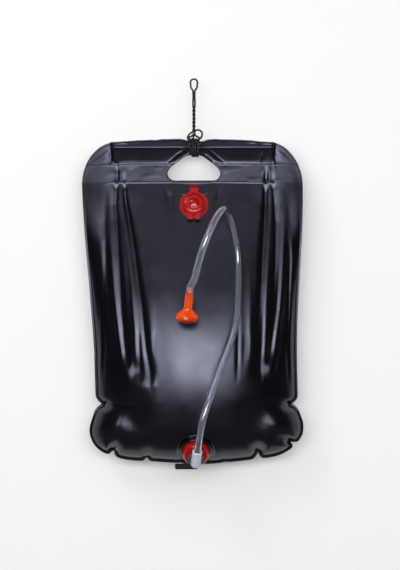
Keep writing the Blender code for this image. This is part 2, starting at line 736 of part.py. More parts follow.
def build_filler_cap():
    """Its origin is on the strap's hinge line."""
    hinge = frame_empty("cap_hinge", FILLER_FRAME @ Matrix.Translation((0, HINGE_REACH, HINGE_HEIGHT)))
    plug = NECK_BORE_RADIUS - FIT_GAP
    bump = CAP_RING_HALF_WIDTH
    edge = CAP_THICKNESS / 3
    down = CAP_TOP
    profile = [
        (0, down + CAP_DOME_HEIGHT), (0.5 * CAP_DOME_RADIUS, down + 0.85 * CAP_DOME_HEIGHT),
        (0.9 * CAP_DOME_RADIUS, down + 0.35 * CAP_DOME_HEIGHT), (CAP_DOME_RADIUS, down),
        (CAP_RING_RADIUS - bump, down), (CAP_RING_RADIUS - bump / 2, down + CAP_RING_HEIGHT),
        (CAP_RING_RADIUS + bump / 2, down + CAP_RING_HEIGHT), (CAP_RING_RADIUS + bump, down),
        (CAP_RADIUS - edge, down), (CAP_RADIUS, down - edge),
        (CAP_RADIUS, CAP_UNDERSIDE - CAP_SKIRT), (CAP_RADIUS - CAP_WALL, CAP_UNDERSIDE - CAP_SKIRT),
        (CAP_RADIUS - CAP_WALL, CAP_UNDERSIDE), (plug, CAP_UNDERSIDE),
        (plug, CAP_UNDERSIDE - PLUG_DEPTH), (plug - PLUG_WALL, CAP_UNDERSIDE - PLUG_DEPTH),
        (plug - PLUG_WALL, CAP_UNDERSIDE), (0, CAP_UNDERSIDE),
    ]
    profile = [(radius, height - HINGE_HEIGHT) for radius, height in profile]
    cap = turned("filler_cap", profile, CAP_RED, hinge)
    cap.location = (0, -HINGE_REACH, 0)
    thickness = STRAP_THICKNESS
    for side in (-1, 1):
        tab = pull_tab(f"pull_tab_{(side + 1) // 2}", side, hinge, thickness)
        boolean(cap, tab, "UNION")
    root = -HINGE_REACH + CAP_RADIUS - CAP_WALL
    half = STRAP_WIDTH / 2
    tip = -STRAP_THICKNESS - FIT_GAP
    outline = [(-half, root), (half, root), (half, tip), (-half, tip)]
    strap = slab("cap_strap", outline, thickness, CAP_RED, hinge)
    strap.location = (0, 0, CAP_UNDERSIDE + thickness / 2 - HINGE_HEIGHT)
    boolean(cap, strap, "UNION")
    shade(cap)


def pull_tab(name, side, hinge, thickness):
    near = TAB_GAP / 2
    far = near + TAB_WIDTH
    root = CAP_RADIUS - 2 * CAP_WALL
    outline = [(side * near, -root), (side * far, -root)]
    for k in range(5):
        turn = math.radians(90 * k / 4)
        x = far - TAB_CORNER + TAB_CORNER * math.cos(turn)
        outline.append((side * x, -TAB_REACH + TAB_CORNER - TAB_CORNER * math.sin(turn)))
    for k in range(5):
        turn = math.radians(90 * k / 4)
        x = near + TAB_CORNER - TAB_CORNER * math.sin(turn)
        outline.append((side * x, -TAB_REACH + TAB_CORNER - TAB_CORNER * math.cos(turn)))
    tab = slab(name, outline, thickness, CAP_RED, hinge)
    tab.location = (0, -HINGE_REACH, CAP_TOP - thickness * 0.7 - HINGE_HEIGHT)
    return tab


# Outlet, its turning valve and its hose tail

BOSS_TOP = FIT_GAP + BOSS_HEIGHT
DISC_BACK = BOSS_TOP + FIT_GAP + GASKET_THICKNESS + FIT_GAP
DISC_FRONT = DISC_BACK + DISC_THICKNESS
BARREL_OUT = DISC_FRONT + BARREL_RADIUS - BARREL_SINK
BARREL_TOP = BARREL_ABOVE
BARREL_BOTTOM = BARREL_ABOVE - BARREL_LENGTH
BARREL_FRAME = Matrix.Translation((0, 0, BARREL_OUT)) @ Matrix.Rotation(-math.pi / 2, 4, "X")
CORE_BOTTOM = BARREL_BOTTOM + FIT_GAP
CORE_TOP = CORE_BOTTOM + CORE_LENGTH


def build_outlet_collar():
    top = BOSS_TOP
    bore = STUB_RADIUS + FIT_GAP
    reach = BOSS_RADIUS - BOSS_FACE_RADIUS
    profile = []
    for k in range(7):
        turn = math.radians(90 * k / 6)
        radius = BOSS_FACE_RADIUS + reach * math.sin(turn)
        profile.append((radius, FIT_GAP + BOSS_LIP + (BOSS_HEIGHT - BOSS_LIP) * math.cos(turn)))
    profile += [
        (BOSS_RADIUS, FIT_GAP), (BOSS_NECK_RADIUS, FIT_GAP), (BOSS_NECK_RADIUS, -BOSS_NECK_DEPTH),
        (bore, -BOSS_NECK_DEPTH), (bore, top),
    ]
    shade(turned("outlet_collar", profile, CAP_RED, OUTLET, closed=True))


def build_outlet_gasket():
    low = BOSS_TOP + FIT_GAP
    high = low + GASKET_THICKNESS
    ring("outlet_gasket", GASKET_RADIUS, STUB_RADIUS + FIT_GAP, low, high, SEAL_BLACK, OUTLET)


def build_outlet_backnut():
    high = -BOSS_NECK_DEPTH - FIT_GAP
    low = high - BACKNUT_THICKNESS
    corners = [math.radians(60 * k) for k in range(6)]
    outline = [(BACKNUT_RADIUS * math.cos(a), BACKNUT_RADIUS * math.sin(a)) for a in corners]
    nut = slab("outlet_backnut", outline, BACKNUT_THICKNESS, FITTING_BLACK, OUTLET)
    nut.location = (0, 0, (low + high) / 2)
    bore = STUB_RADIUS + FIT_GAP
    boolean(nut, cylinder("nut_bore", bore, low - CUT_OVERRUN, high + CUT_OVERRUN, FITTING_BLACK, OUTLET))
    shade(nut)


def build_outlet_tee():
    """A disc and a stub that goes through the collar, with the valve's barrel across its front."""
    profile = [
        (0, DISC_FRONT), (DISC_RADIUS, DISC_FRONT), (DISC_RADIUS, DISC_BACK),
        (STUB_RADIUS, DISC_BACK), (STUB_RADIUS, -STUB_DEPTH), (0, -STUB_DEPTH),
    ]
    tee = turned("outlet_tee", profile, NATURAL, OUTLET)
    edge = BARREL_CHAMFER
    barrel = turned(
        "barrel",
        [
            (0, BARREL_TOP), (BARREL_RADIUS - edge, BARREL_TOP), (BARREL_RADIUS, BARREL_TOP - edge),
            (BARREL_RADIUS, BARREL_BOTTOM + edge), (BARREL_RADIUS - edge, BARREL_BOTTOM),
            (0, BARREL_BOTTOM),
        ],
        NATURAL,
        OUTLET,
    )
    barrel.matrix_local = BARREL_FRAME
    boolean(tee, barrel, "UNION")
    wide = CORE_RADIUS + FIT_GAP
    narrow = BARB_PLUG_RADIUS + FIT_GAP
    step = CORE_TOP + FIT_GAP
    profile = [
        (0, BARREL_TOP + CUT_OVERRUN), (narrow, BARREL_TOP + CUT_OVERRUN), (narrow, step), (wide, step),
        (wide, BARREL_BOTTOM - CUT_OVERRUN), (0, BARREL_BOTTOM - CUT_OVERRUN),
    ]
    inlet_low = -STUB_DEPTH - CUT_OVERRUN
    inlet = cylinder("inlet_bore", STUB_BORE_RADIUS, inlet_low, BARREL_OUT, NATURAL, OUTLET, SMALL_STEPS)
    boolean(tee, inlet)
    bore = turned("barrel_bore", profile, NATURAL, OUTLET)
    bore.matrix_local = BARREL_FRAME
    boolean(tee, bore)
    shade(tee)


def build_valve():
    """The core turns in the barrel, and the lever under it is pinned into the core's foot."""
    groove = CORE_TOP - ORING_DROP
    half = ORING_GROOVE_WIDTH / 2
    waist = CORE_RADIUS - ORING_GROOVE_DEPTH
    profile = [
        (0, CORE_TOP), (CORE_RADIUS, CORE_TOP), (CORE_RADIUS, groove + half), (waist, groove + half),
        (waist, groove - half), (CORE_RADIUS, groove - half), (CORE_RADIUS, CORE_BOTTOM),
        (0, CORE_BOTTOM),
    ]
    core = turned("valve_core", profile, FITTING_BLACK, VALVE, SMALL_STEPS)
    socket_top = CORE_BOTTOM + CORE_SOCKET_DEPTH
    socket_low = CORE_BOTTOM - CUT_OVERRUN
    port_top = CORE_TOP + CUT_OVERRUN
    black = FITTING_BLACK
    bore = CORE_SOCKET_RADIUS
    socket = cylinder("core_socket", bore, socket_low, socket_top, black, VALVE, SMALL_STEPS)
    port = cylinder("core_port", CORE_PORT_RADIUS, 0, port_top, black, VALVE, SMALL_STEPS)
    side_port = cylinder("side_port", CORE_PORT_RADIUS, 0, 2 * CORE_RADIUS, black, VALVE, SMALL_STEPS)
    side_port.matrix_local = Matrix.Rotation(math.pi / 2, 4, "Y")
    for cut in (socket, port, side_port):
        boolean(core, cut)
    shade(core)
    section = circle(waist + FIT_GAP + ORING_RADIUS, groove, ORING_RADIUS)
    shade(turned("valve_oring", section, SEAL_BLACK, VALVE, SMALL_STEPS, True))
    build_lever(socket_top)


def build_lever(socket_top):
    top = BARREL_BOTTOM - FIT_GAP
    low = top - LEVER_THICKNESS
    pin = CORE_SOCKET_RADIUS - FIT_GAP
    profile = [
        (0, socket_top - FIT_GAP), (pin, socket_top - FIT_GAP), (pin, top), (LEVER_RADIUS, top),
        (LEVER_RADIUS, low),
    ]
    for turn in (30, 60, 90):
        angle = math.radians(turn)
        radius = LEVER_RADIUS * math.cos(angle) if turn < 90 else 0
        profile.append((radius, low - LEVER_TIP_HEIGHT * math.sin(angle)))
    lever = turned("valve_lever", profile, FITTING_BLACK, VALVE, SMALL_STEPS)
    corner = LEVER_RADIUS / 2
    far = corner - LEVER_LENGTH
    side = LEVER_RADIUS - corner
    outline = [(0, -LEVER_RADIUS), (0, LEVER_RADIUS)]
    for k in range(5):
        turn = math.radians(90 * k / 4)
        outline.append((far - corner * math.sin(turn), side + corner * math.cos(turn)))
    for k in range(5):
        turn = math.radians(90 * k / 4)
        outline.append((far - corner * math.cos(turn), -side - corner * math.sin(turn)))
    arm = slab("lever_arm", outline, LEVER_THICKNESS - 2 * MERGE, FITTING_BLACK, VALVE)
    middle = (top + low) / 2
    yaw = Matrix.Rotation(math.radians(LEVER_YAW), 4, "Z")
    arm.matrix_local = Matrix.Translation((0, 0, middle)) @ yaw
    boolean(lever, arm, "UNION")
    shade(lever)


def circle(radius, height, minor, steps=8):
    """A turned ring's round section, down its outer side first."""
    turns = [math.radians(90 - 360 * k / steps) for k in range(steps)]
    return [(radius + minor * math.cos(a), height + minor * math.sin(a)) for a in turns]


def barb_profile(bottom, length):
    """Saw-tooth ridges down a hose tail, from its tip at the top."""
    pitch = length / BARB_RIDGES
    points = []
    for k in range(BARB_RIDGES):
        tip = bottom + length - k * pitch
        points.append((BARB_ROOT_RADIUS, tip))
        points.append((BARB_RADIUS, tip - 0.7 * pitch))
        points.append((BARB_RADIUS, tip - 0.8 * pitch))
        points.append((BARB_ROOT_RADIUS, tip - 0.85 * pitch))
    points.append((BARB_ROOT_RADIUS, bottom))
    return points


def build_hose_barb():
    bottom = BARREL_TOP
    profile = barb_profile(bottom, BARB_LENGTH) + [
        (BARB_PLUG_RADIUS, bottom), (BARB_PLUG_RADIUS, bottom - BARB_PLUG_LENGTH),
        (BARB_BORE_RADIUS, bottom - BARB_PLUG_LENGTH), (BARB_BORE_RADIUS, bottom + BARB_LENGTH),
    ]
    barb = turned("hose_barb", profile, FITTING_BLACK, OUTLET, SMALL_STEPS, True)
    barb.matrix_local = BARREL_FRAME
    shade(barb)


# Hose and nozzle

NOZZLE_FRAME = (
    Matrix.Translation(NOZZLE_TOP)
    @ Matrix.Rotation(math.radians(NOZZLE_LEAN), 4, "Y")
    @ Matrix.Rotation(math.radians(NOZZLE_PITCH), 4, "X")
)


def hose_places():
    """The hose's middle line, square to the barrel at one end and to the nozzle at the other."""
    outlet_axis = OUTLET_FRAME @ BARREL_FRAME
    start = BARREL_TOP + FIT_GAP
    nozzle = NOZZLE_FRAME
    first = [outlet_axis @ Vector((0, 0, start + share * BARB_LENGTH)) for share in STRAIGHT_SHARES]
    rises = [FIT_GAP + share * STEM_BARB_LENGTH for share in reversed(STRAIGHT_SHARES)]
    last = [nozzle @ Vector((0, 0, rise)) for rise in rises]
    top = NOZZLE_TOP[2]
    fall = first[0].z - top
    between = [Vector((x, y, top + fall * share)) for (x, y), share in zip(HOSE_ROUTE, HOSE_DROP_SHARES)]
    return smooth_route(first + between + last, HOSE_POINTS)


def build_hose():
    places = hose_places()
    length = sum((b - a).length for a, b in zip(places, places[1:]))
    print(f"shower_hose: {length:.3f} m along its middle")
    outer = tube_curve("shower_hose", places, HOSE_RADIUS, HOSE_RESOLUTION)
    hose = solidified_curve("shower_hose", outer, HOSE_CLEAR)
    before = places[0] * 2 - places[1]
    after = places[-1] * 2 - places[-2]
    bore = tube_curve("hose_bore", [before] + places + [after], HOSE_BORE_RADIUS, HOSE_RESOLUTION)
    boolean(hose, solidified_curve("hose_bore", bore, HOSE_CLEAR))
    shade(hose)


HEAD_TOP = -STEM_LENGTH - FIT_GAP
HEAD_BOTTOM = HEAD_TOP - HEAD_LENGTH
CHAMBER_TOP = HEAD_TOP - 0.5 * HEAD_LENGTH
CHAMBER_RADIUS = PLATE_RADIUS - PLATE_SEAT


def build_nozzle_stem():
    """Tail, grip and spigot in one moulding, with a waterway through it."""
    spigot_end = -STEM_LENGTH - SPIGOT_LENGTH
    groove = -STEM_LENGTH - SPIGOT_LENGTH / 2
    half = ORING_GROOVE_WIDTH / 2
    waist = SPIGOT_RADIUS - ORING_GROOVE_DEPTH
    profile = barb_profile(0, STEM_BARB_LENGTH) + [
        (STEM_RADIUS, 0), (STEM_RADIUS, -STEM_LENGTH), (SPIGOT_RADIUS, -STEM_LENGTH),
        (SPIGOT_RADIUS, groove + half), (waist, groove + half), (waist, groove - half),
        (SPIGOT_RADIUS, groove - half), (SPIGOT_RADIUS, spigot_end),
        (BARB_BORE_RADIUS, spigot_end), (BARB_BORE_RADIUS, STEM_BARB_LENGTH),
    ]
    shade(turned("nozzle_stem", profile, NOZZLE_ORANGE, NOZZLE, SMALL_STEPS, True))
    section = circle(waist + FIT_GAP + ORING_RADIUS, groove, ORING_RADIUS)
    shade(turned("nozzle_seal", section, SEAL_BLACK, NOZZLE, SMALL_STEPS, True))


def build_nozzle_head():
    profile = [(HEAD_RADIUS * r, HEAD_TOP - HEAD_LENGTH * down) for r, down in HEAD_SHARES]
    seat = HEAD_BOTTOM + PLATE_THICKNESS + FIT_GAP
    profile += [
        (PLATE_RADIUS + FIT_GAP, HEAD_BOTTOM), (PLATE_RADIUS + FIT_GAP, seat), (CHAMBER_RADIUS, seat),
        (CHAMBER_RADIUS, CHAMBER_TOP), (HEAD_BORE_RADIUS, CHAMBER_TOP), (HEAD_BORE_RADIUS, HEAD_TOP),
    ]
    shade(turned("nozzle_head", profile, NOZZLE_ORANGE, ROSE, closed=True))


def build_spray_plate():
    top = HEAD_BOTTOM + PLATE_THICKNESS
    shares = (0.0, 0.33, 0.62, 0.86)
    under = [(PLATE_RADIUS * r, HEAD_BOTTOM - PLATE_DOME * (1 - r * r)) for r in reversed(shares)]
    over = [(PLATE_RADIUS * r * 0.9, top - PLATE_DOME * (1 - r * r)) for r in shares]
    profile = over + [(PLATE_RADIUS, top), (PLATE_RADIUS, HEAD_BOTTOM)] + under
    plate = turned("spray_plate", profile, PLATE_RED, ROSE)
    holes = []
    hole_low = HEAD_BOTTOM - 2 * PLATE_DOME
    hole_top = top + CUT_OVERRUN
    for reach, count in SPRAY_RINGS:
        for k in range(count):
            angle = 2 * math.pi * k / count
            hole = cylinder("spray_hole", SPRAY_HOLE_RADIUS, hole_low, hole_top, PLATE_RED, ROSE, 6)
            hole.location = (reach * math.cos(angle), reach * math.sin(angle), 0)
            holes.append(hole)
    for hole in holes:
        boolean(plate, hole)
    shade(plate)


FILLER = frame_empty("filler_frame", FILLER_FRAME)
OUTLET = frame_empty("outlet_frame", OUTLET_FRAME)
VALVE = frame_empty("valve_frame", OUTLET_FRAME @ BARREL_FRAME)
NOZZLE = frame_empty("nozzle_frame", NOZZLE_FRAME)
ROSE = frame_empty("rose_frame", NOZZLE_FRAME)

build_bag()
build_rod()
build_cord()
build_filler_collar()
build_filler_seal()
build_filler_cap()
build_outlet_collar()
build_outlet_gasket()
build_outlet_backnut()
build_outlet_tee()
build_valve()
build_hose_barb()
build_hose()
build_nozzle_stem()
build_nozzle_head()
build_spray_plate()

bpy.context.view_layer.update()
HINGE = bpy.data.objects["cap_hinge"]
JOINTS = (("cap_flip", HINGE, "X"), ("valve_turn", VALVE, "Z"), ("rose_slide", ROSE, "Z"))
for joint, frame, along in JOINTS:
    place = [round(value, 5) for value in frame.matrix_world.translation]
    axis = [round(value, 5) for value in frame.matrix_world.col["XYZ".index(along)][:3]]
    print(f"{joint}: at {place}, along {axis}")
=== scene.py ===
"""Camp shower bag as photographed: full, hung from its cord close to a white wall."""

import math
from collections import namedtuple

import bpy
import numpy as np
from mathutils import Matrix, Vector


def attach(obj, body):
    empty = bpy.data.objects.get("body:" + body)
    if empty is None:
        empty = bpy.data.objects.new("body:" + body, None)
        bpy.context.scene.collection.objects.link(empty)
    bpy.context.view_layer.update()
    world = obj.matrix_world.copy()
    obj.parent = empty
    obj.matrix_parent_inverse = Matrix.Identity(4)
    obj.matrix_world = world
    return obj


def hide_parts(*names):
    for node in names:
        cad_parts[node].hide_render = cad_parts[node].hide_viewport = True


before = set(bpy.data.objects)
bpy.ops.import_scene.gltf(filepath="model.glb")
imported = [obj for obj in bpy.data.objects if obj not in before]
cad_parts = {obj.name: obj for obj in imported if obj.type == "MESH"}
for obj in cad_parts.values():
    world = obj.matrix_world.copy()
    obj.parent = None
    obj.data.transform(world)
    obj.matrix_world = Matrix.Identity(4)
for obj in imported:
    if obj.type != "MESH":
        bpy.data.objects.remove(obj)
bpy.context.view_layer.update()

# The photograph's camera looks along +Y. Places in the picture are in its pixels, and PIXEL is the size
# in metres of one of them in the seam's plane, y = 0
EYE = Vector((0.011, -3.0, -0.373))
FOCAL = 1648.5
IMAGE_HEIGHT = 570
CENTRE_X, CENTRE_Y = 200.0, 285.0
PIXEL = -EYE.y / FOCAL
SENSOR = 36

# Sizes that the CAD has too, in metres. A drop is measured down from the hem
CORD_DROP = 0.107
BAG_HEIGHT = 0.591
RIM = 0.0045
FILM = 0.0008
SEAM_GAP = 0.00015
BELLY_DEPTH = 0.068
HEADER_DROP = 0.080
BELLY_DROP = 0.503
FLOOR_DROP = 0.585

# The filler cap's seat and the outlet's barrel, in metres
FILLER_ORIGIN = (0, -0.010311, -0.227806)
FILLER_FACING = (0, -0.9703, 0.2419)
BARREL_ORIGIN = (0.0037, -0.07898, -0.68705)
BARREL_AXIS = (0.10973, -0.57011, 0.8142)
# BARREL_EDGE: distances from the barrel's axis over which the painted shade of the tee's disc sets in
BARREL_EDGE = (0.0090, 0.0098)


def project(x, y, z):
    """Where a place in metres is seen in the picture."""
    k = FOCAL / (y - EYE.y)
    return CENTRE_X + k * (x - EYE.x), CENTRE_Y - k * (z - EYE.z)


def place(px, py, y=0.0):
    """The place in metres at depth y that is seen at a pixel."""
    k = FOCAL / (y - EYE.y)
    return Vector((EYE.x + (px - CENTRE_X) / k, y, EYE.z - (py - CENTRE_Y) / k))


def make_camera():
    data = bpy.data.cameras.new("camera")
    data.sensor_fit = "VERTICAL"
    data.sensor_height = SENSOR
    data.sensor_width = SENSOR
    data.lens = SENSOR * FOCAL / IMAGE_HEIGHT
    made = bpy.data.objects.new("camera", data)
    bpy.context.scene.collection.objects.link(made)
    made.location = EYE
    made.rotation_euler = (math.pi / 2, 0, 0)
    bpy.context.scene.camera = made


make_camera()


# Materials


class Nodes:
    """A material's node tree with short calls for the nodes used here."""

    def __init__(self, name):
        self.material = bpy.data.materials.new(name)
        self.material.use_nodes = True
        self.tree = self.material.node_tree
        self.shader = self.tree.nodes["Principled BSDF"]

    def node(self, kind, **settings):
        made = self.tree.nodes.new("ShaderNode" + kind)
        for key, value in settings.items():
            setattr(made, key, value)
        return made

    def link(self, source, target):
        self.tree.links.new(source, target)

    def set(self, **sockets):
        for key, value in sockets.items():
            self.shader.inputs[key.replace("_", " ")].default_value = value

    def coords(self):
        return self.node("TexCoord").outputs["Object"]

    def place(self):
        made = self.node("SeparateXYZ")
        self.link(self.coords(), made.inputs[0])
        return made.outputs

    def noise(self, scale, detail=3, rough=0.5):
        made = self.node("TexNoise")
        made.inputs["Scale"].default_value = scale
        made.inputs["Detail"].default_value = detail
        made.inputs["Roughness"].default_value = rough
        self.link(self.coords(), made.inputs["Vector"])
        return made.outputs["Fac"]

    def ramp(self, source, low, high):
        """A colour that goes from low to high as the source goes from 0.3 to 0.7."""
        made = self.node("ValToRGB")
        for stop, at, colour in zip(made.color_ramp.elements, (0.3, 0.7), (low, high)):
            stop.position = at
            stop.color = (*colour, 1)
        self.link(source, made.inputs["Fac"])
        return made.outputs["Color"]

    def level(self, source, low, high, a=0.3, b=0.7):
        """A number that goes from low to high as the source goes from a to b."""
        made = self.node("MapRange")
        made.inputs["From Min"].default_value = a
        made.inputs["From Max"].default_value = b
        made.inputs["To Min"].default_value = low
        made.inputs["To Max"].default_value = high
        self.link(source, made.inputs["Value"])
        return made.outputs["Result"]

    def combine(self, operation, *sources):
        made = self.node("Math", operation=operation)
        for source, socket in zip(sources, made.inputs):
            self.link(source, socket)
        return made.outputs[0]

    def bump(self, source, strength, distance, before=None):
        made = self.node("Bump")
        made.inputs["Strength"].default_value = strength
        made.inputs["Distance"].default_value = distance
        self.link(source, made.inputs["Height"])
        if before:
            self.link(before, made.inputs["Normal"])
        self.link(made.outputs["Normal"], self.shader.inputs["Normal"])
        return made.outputs["Normal"]

    def blend(self, fac, low, high):
        made = self.node("Mix", data_type="RGBA")
        self.link(fac, made.inputs[0])
        self.link(low, made.inputs[6])
        self.link(high, made.inputs[7])
        return made.outputs[2]

    def to(self, socket, source):
        self.link(source, self.shader.inputs[socket])


def film_material():
    """Black film: cloudy colour and gloss, fine grain, and a haze on the shoulders beside the rod's ends."""
    m = Nodes("film_black")
    m.set(IOR=1.5, Specular_Tint=(0.74, 0.76, 1.0, 1))
    m.to("Base Color", m.ramp(m.noise(9, 4, 0.55), (0.0018, 0.0018, 0.0026), (0.0026, 0.0026, 0.0037)))
    spot = m.place()
    beside = m.level(m.combine("ABSOLUTE", spot["X"]), 0, 1, 0.145, 0.172)
    haze = m.combine("MULTIPLY", beside, m.level(spot["Z"], 0, 0.42, -0.300, -0.205))
    haze = m.combine("MULTIPLY", haze, m.level(spot["Z"], 1, 0.5, -0.192, -0.185))
    m.to("Roughness", m.combine("ADD", m.level(m.noise(30, 2), 0.205, 0.255), haze))
    grain = m.bump(m.noise(700, 2, 0.6), 0.05, 0.0002)
    m.bump(m.noise(55, 2), 0.05, 0.0008, grain)
    return m.material


def plastic(name, low, high, roughness, bump=0.06, **sockets):
    """Moulded plastic: slight colour drift, fine handling marks in the gloss, a soft orange-peel skin."""
    m = Nodes(name)
    m.set(**sockets)
    m.to("Base Color", m.ramp(m.noise(60), low, high))
    m.to("Roughness", m.level(m.noise(360, 4, 0.6), roughness * 0.8, roughness * 1.25))
    peel = m.bump(m.noise(420, 2), bump, 0.0003)
    m.bump(m.noise(2600, 2), bump * 0.7, 0.00008, peel)
    return m.material


def cord_material():
    m = Nodes("cord_braid")
    m.set(Sheen_Weight=0.06, Sheen_Roughness=0.4, Specular_IOR_Level=0.4)
    m.to("Base Color", m.ramp(m.noise(900, 3, 0.6), (0.003, 0.003, 0.004), (0.012, 0.012, 0.015)))
    m.to("Roughness", m.level(m.noise(1400, 2), 0.38, 0.62))
    m.bump(m.noise(3200, 2, 0.6), 0.35, 0.0002)
    return m.material


def hose_material():
    m = Nodes("hose_clear")
    m.set(Transmission_Weight=0.988, IOR=1.54)
    m.set(Sheen_Weight=0.16, Sheen_Roughness=0.15, Sheen_Tint=(0.88, 0.88, 1.0, 1))
    m.to("Base Color", m.ramp(m.noise(30), (0.80, 0.81, 0.93), (0.86, 0.87, 0.97)))
    m.to("Roughness", m.level(m.noise(160, 4), 0.02, 0.06))
    m.bump(m.noise(90, 2), 0.05, 0.0006)
    return m.material


def tee_material():
    """Milky plastic along the barrel, with painted shade: the disc behind the barrel is painted dark grey as if in
    shadow.
    """
    m = Nodes("plastic_natural")
    m.set(Subsurface_Weight=0.25, Subsurface_Radius=(0.004, 0.004, 0.005), Subsurface_Scale=1.0)
    offset = m.node("VectorMath", operation="SUBTRACT")
    offset.inputs[1].default_value = BARREL_ORIGIN
    m.link(m.coords(), offset.inputs[0])
    across = m.node("VectorMath", operation="CROSS_PRODUCT")
    across.inputs[1].default_value = BARREL_AXIS
    m.link(offset.outputs[0], across.inputs[0])
    away = m.node("VectorMath", operation="LENGTH")
    m.link(across.outputs[0], away.inputs[0])
    milky = m.ramp(m.noise(60), (0.60, 0.60, 0.74), (0.68, 0.68, 0.82))
    # painted shade: away from the barrel's axis the disc is coloured near black, standing in for the shadow on it
    painted_shade = m.ramp(m.noise(140, 4, 0.6), (0.055, 0.055, 0.062), (0.12, 0.12, 0.13))
    m.to("Base Color", m.blend(m.level(away.outputs["Value"], 0, 1, *BARREL_EDGE), milky, painted_shade))
    m.to("Roughness", m.level(m.noise(360, 4, 0.6), 0.28, 0.44))
    m.bump(m.noise(420, 2), 0.06, 0.0003)
    return m.material


def orange_material():
    """Glossy orange, with painted shade: the underside of the nozzle's head is painted deep red as if in shadow."""
    m = Nodes("plastic_orange")
    m.set(Specular_IOR_Level=0.62, Specular_Tint=(1, 0.78, 0.66, 1))
    bright = m.ramp(m.noise(60), (0.74, 0.058, 0.004), (0.82, 0.072, 0.007))
    # painted shade: deep red lower down the nozzle's head, standing in for the shadow on its underside
    deep = m.ramp(m.noise(80), (0.20, 0.006, 0.004), (0.27, 0.010, 0.006))
    m.to("Base Color", m.blend(m.level(m.place()["Z"], 1, 0, -0.4385, -0.4300), bright, deep))
    m.to("Roughness", m.level(m.noise(360, 4, 0.6), 0.11, 0.17))
    m.bump(m.noise(420, 2), 0.03, 0.0003)
    return m.material


FILM_BLACK = film_material()
CORD_BLACK = cord_material()
HOSE_CLEAR = hose_material()
RED = plastic(
    "plastic_red", (0.32, 0.0014, 0.0028), (0.38, 0.0022, 0.0040), 0.16, bump=0.03,
    Specular_IOR_Level=0.62, Specular_Tint=(1, 0.52, 0.50, 1),
)
ORANGE = orange_material()
DARK_RED = plastic("plastic_dark_red", (0.40, 0.006, 0.003), (0.48, 0.012, 0.006), 0.26)
BLACK = plastic("plastic_black", (0.010, 0.010, 0.012), (0.016, 0.016, 0.019), 0.34)
RUBBER = plastic("rubber_black", (0.010, 0.010, 0.010), (0.018, 0.018, 0.018), 0.62, bump=0.15)
ROD = plastic("rod_grey", (0.22, 0.22, 0.23), (0.28, 0.28, 0.29), 0.5)
NATURAL = tee_material()

CAD_FINISHES = {
    "header_rod": ROD, "filler_collar": RED, "filler_seal": RUBBER, "filler_cap": RED,
    "outlet_collar": RED, "outlet_gasket": RUBBER, "outlet_tee": NATURAL, "outlet_backnut": BLACK,
    "valve_core": BLACK, "valve_oring": RUBBER, "valve_lever": BLACK, "hose_barb": BLACK,
    "nozzle_stem": ORANGE, "nozzle_seal": RUBBER, "nozzle_head": ORANGE, "spray_plate": DARK_RED,
}
for node_name, finish in CAD_FINISHES.items():
    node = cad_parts[node_name]
    if not node.data.materials:
        node.data.materials.append(finish)
    for slot in node.material_slots:
        slot.material = finish


# Mesh helpers


def link_mesh(name, verts, faces, finish):
    mesh = bpy.data.meshes.new(name)
    mesh.from_pydata([tuple(v) for v in verts], [], [tuple(f) for f in faces])
    mesh.validate()
    mesh.polygons.foreach_set("use_smooth", [True] * len(mesh.polygons))
    mesh.materials.append(finish)
    made = bpy.data.objects.new(name, mesh)
    bpy.context.scene.collection.objects.link(made)
    return made


def sides_along(path):
    """Two directions square to a path at each point, turned as little as possible from point to point."""
    tangents = np.gradient(path, axis=0)
    tangents /= np.linalg.norm(tangents, axis=1)[:, None]
    side = np.cross(tangents[0], (0.31, 0.17, 0.94))
    sides = [side / np.linalg.norm(side)]
    for tangent in tangents[1:]:
        side = sides[-1] - tangent * np.dot(sides[-1], tangent)
        sides.append(side / np.linalg.norm(side))
    sides = np.array(sides)
    return sides, np.cross(tangents, sides)


def tube_rings(path, radius_at, sides):
    """Rings of points round a path, whose radius is a function of the point's index and the angle."""
    across, up = sides_along(path)
    angle = np.arange(sides) * 2 * math.pi / sides
    radius = radius_at(np.arange(len(path))[:, None], angle[None, :])[:, :, None]
    return (
        path[:, None, :]
        + radius * np.cos(angle)[None, :, None] * across[:, None, :]
        + radius * np.sin(angle)[None, :, None] * up[:, None, :]
    )


def ring_faces(count, sides, closed=False):
    """Faces between each ring and the next, and between the last and the first where they close up."""
    faces = []
    for i in range(count if closed else count - 1):
        for j in range(sides):
            k = (j + 1) % sides
            here, after = i * sides, (i + 1) % count * sides
            faces.append((here + j, here + k, after + k, after + j))
    return faces


def capped_faces(count, sides):
    """Faces of a row of rings, with one face over each end."""
    last = (count - 1) * sides
    return ring_faces(count, sides) + [tuple(range(sides))[::-1], tuple(range(last, last + sides))]


def solid_tube(name, path, radius_at, sides, finish):
    rings = tube_rings(path, radius_at, sides)
    return link_mesh(name, rings.reshape(-1, 3), capped_faces(len(rings), sides), finish)


def bored_tube(name, path, outer, inner, sides, finish):
    """A tube with a bore: rings along its outside, and back along the bore."""
    rings = np.concatenate([tube_rings(path, outer, sides), tube_rings(path, inner, sides)[::-1]])
    return link_mesh(name, rings.reshape(-1, 3), ring_faces(len(rings), sides, True), finish)


def smooth_route(route, steps, fine):
    """The same smooth curve through the route's points as the CAD follows, evenly spaced.

    Each span between two points is first drawn in as many pieces as fine says.
    """
    route = [Vector(p) for p in route]
    spans = [(b - a).length for a, b in zip(route, route[1:])]
    runs = [(b - a) / span for a, b, span in zip(route, route[1:], spans)]
    slopes = [runs[0]]
    for i in range(1, len(runs)):
        slopes.append((runs[i - 1] * spans[i] + runs[i] * spans[i - 1]) / (spans[i - 1] + spans[i]))
    slopes.append(runs[-1])
    places = []
    for i, span in enumerate(spans):
        for k in range(fine):
            s = k / fine
            ends = route[i] * (1 + 2 * s) * (1 - s) ** 2 + route[i + 1] * (3 - 2 * s) * s**2
            places.append(ends + (slopes[i] * s * (1 - s) ** 2 - slopes[i + 1] * (1 - s) * s**2) * span)
    return evenly(places + [route[-1]], steps)


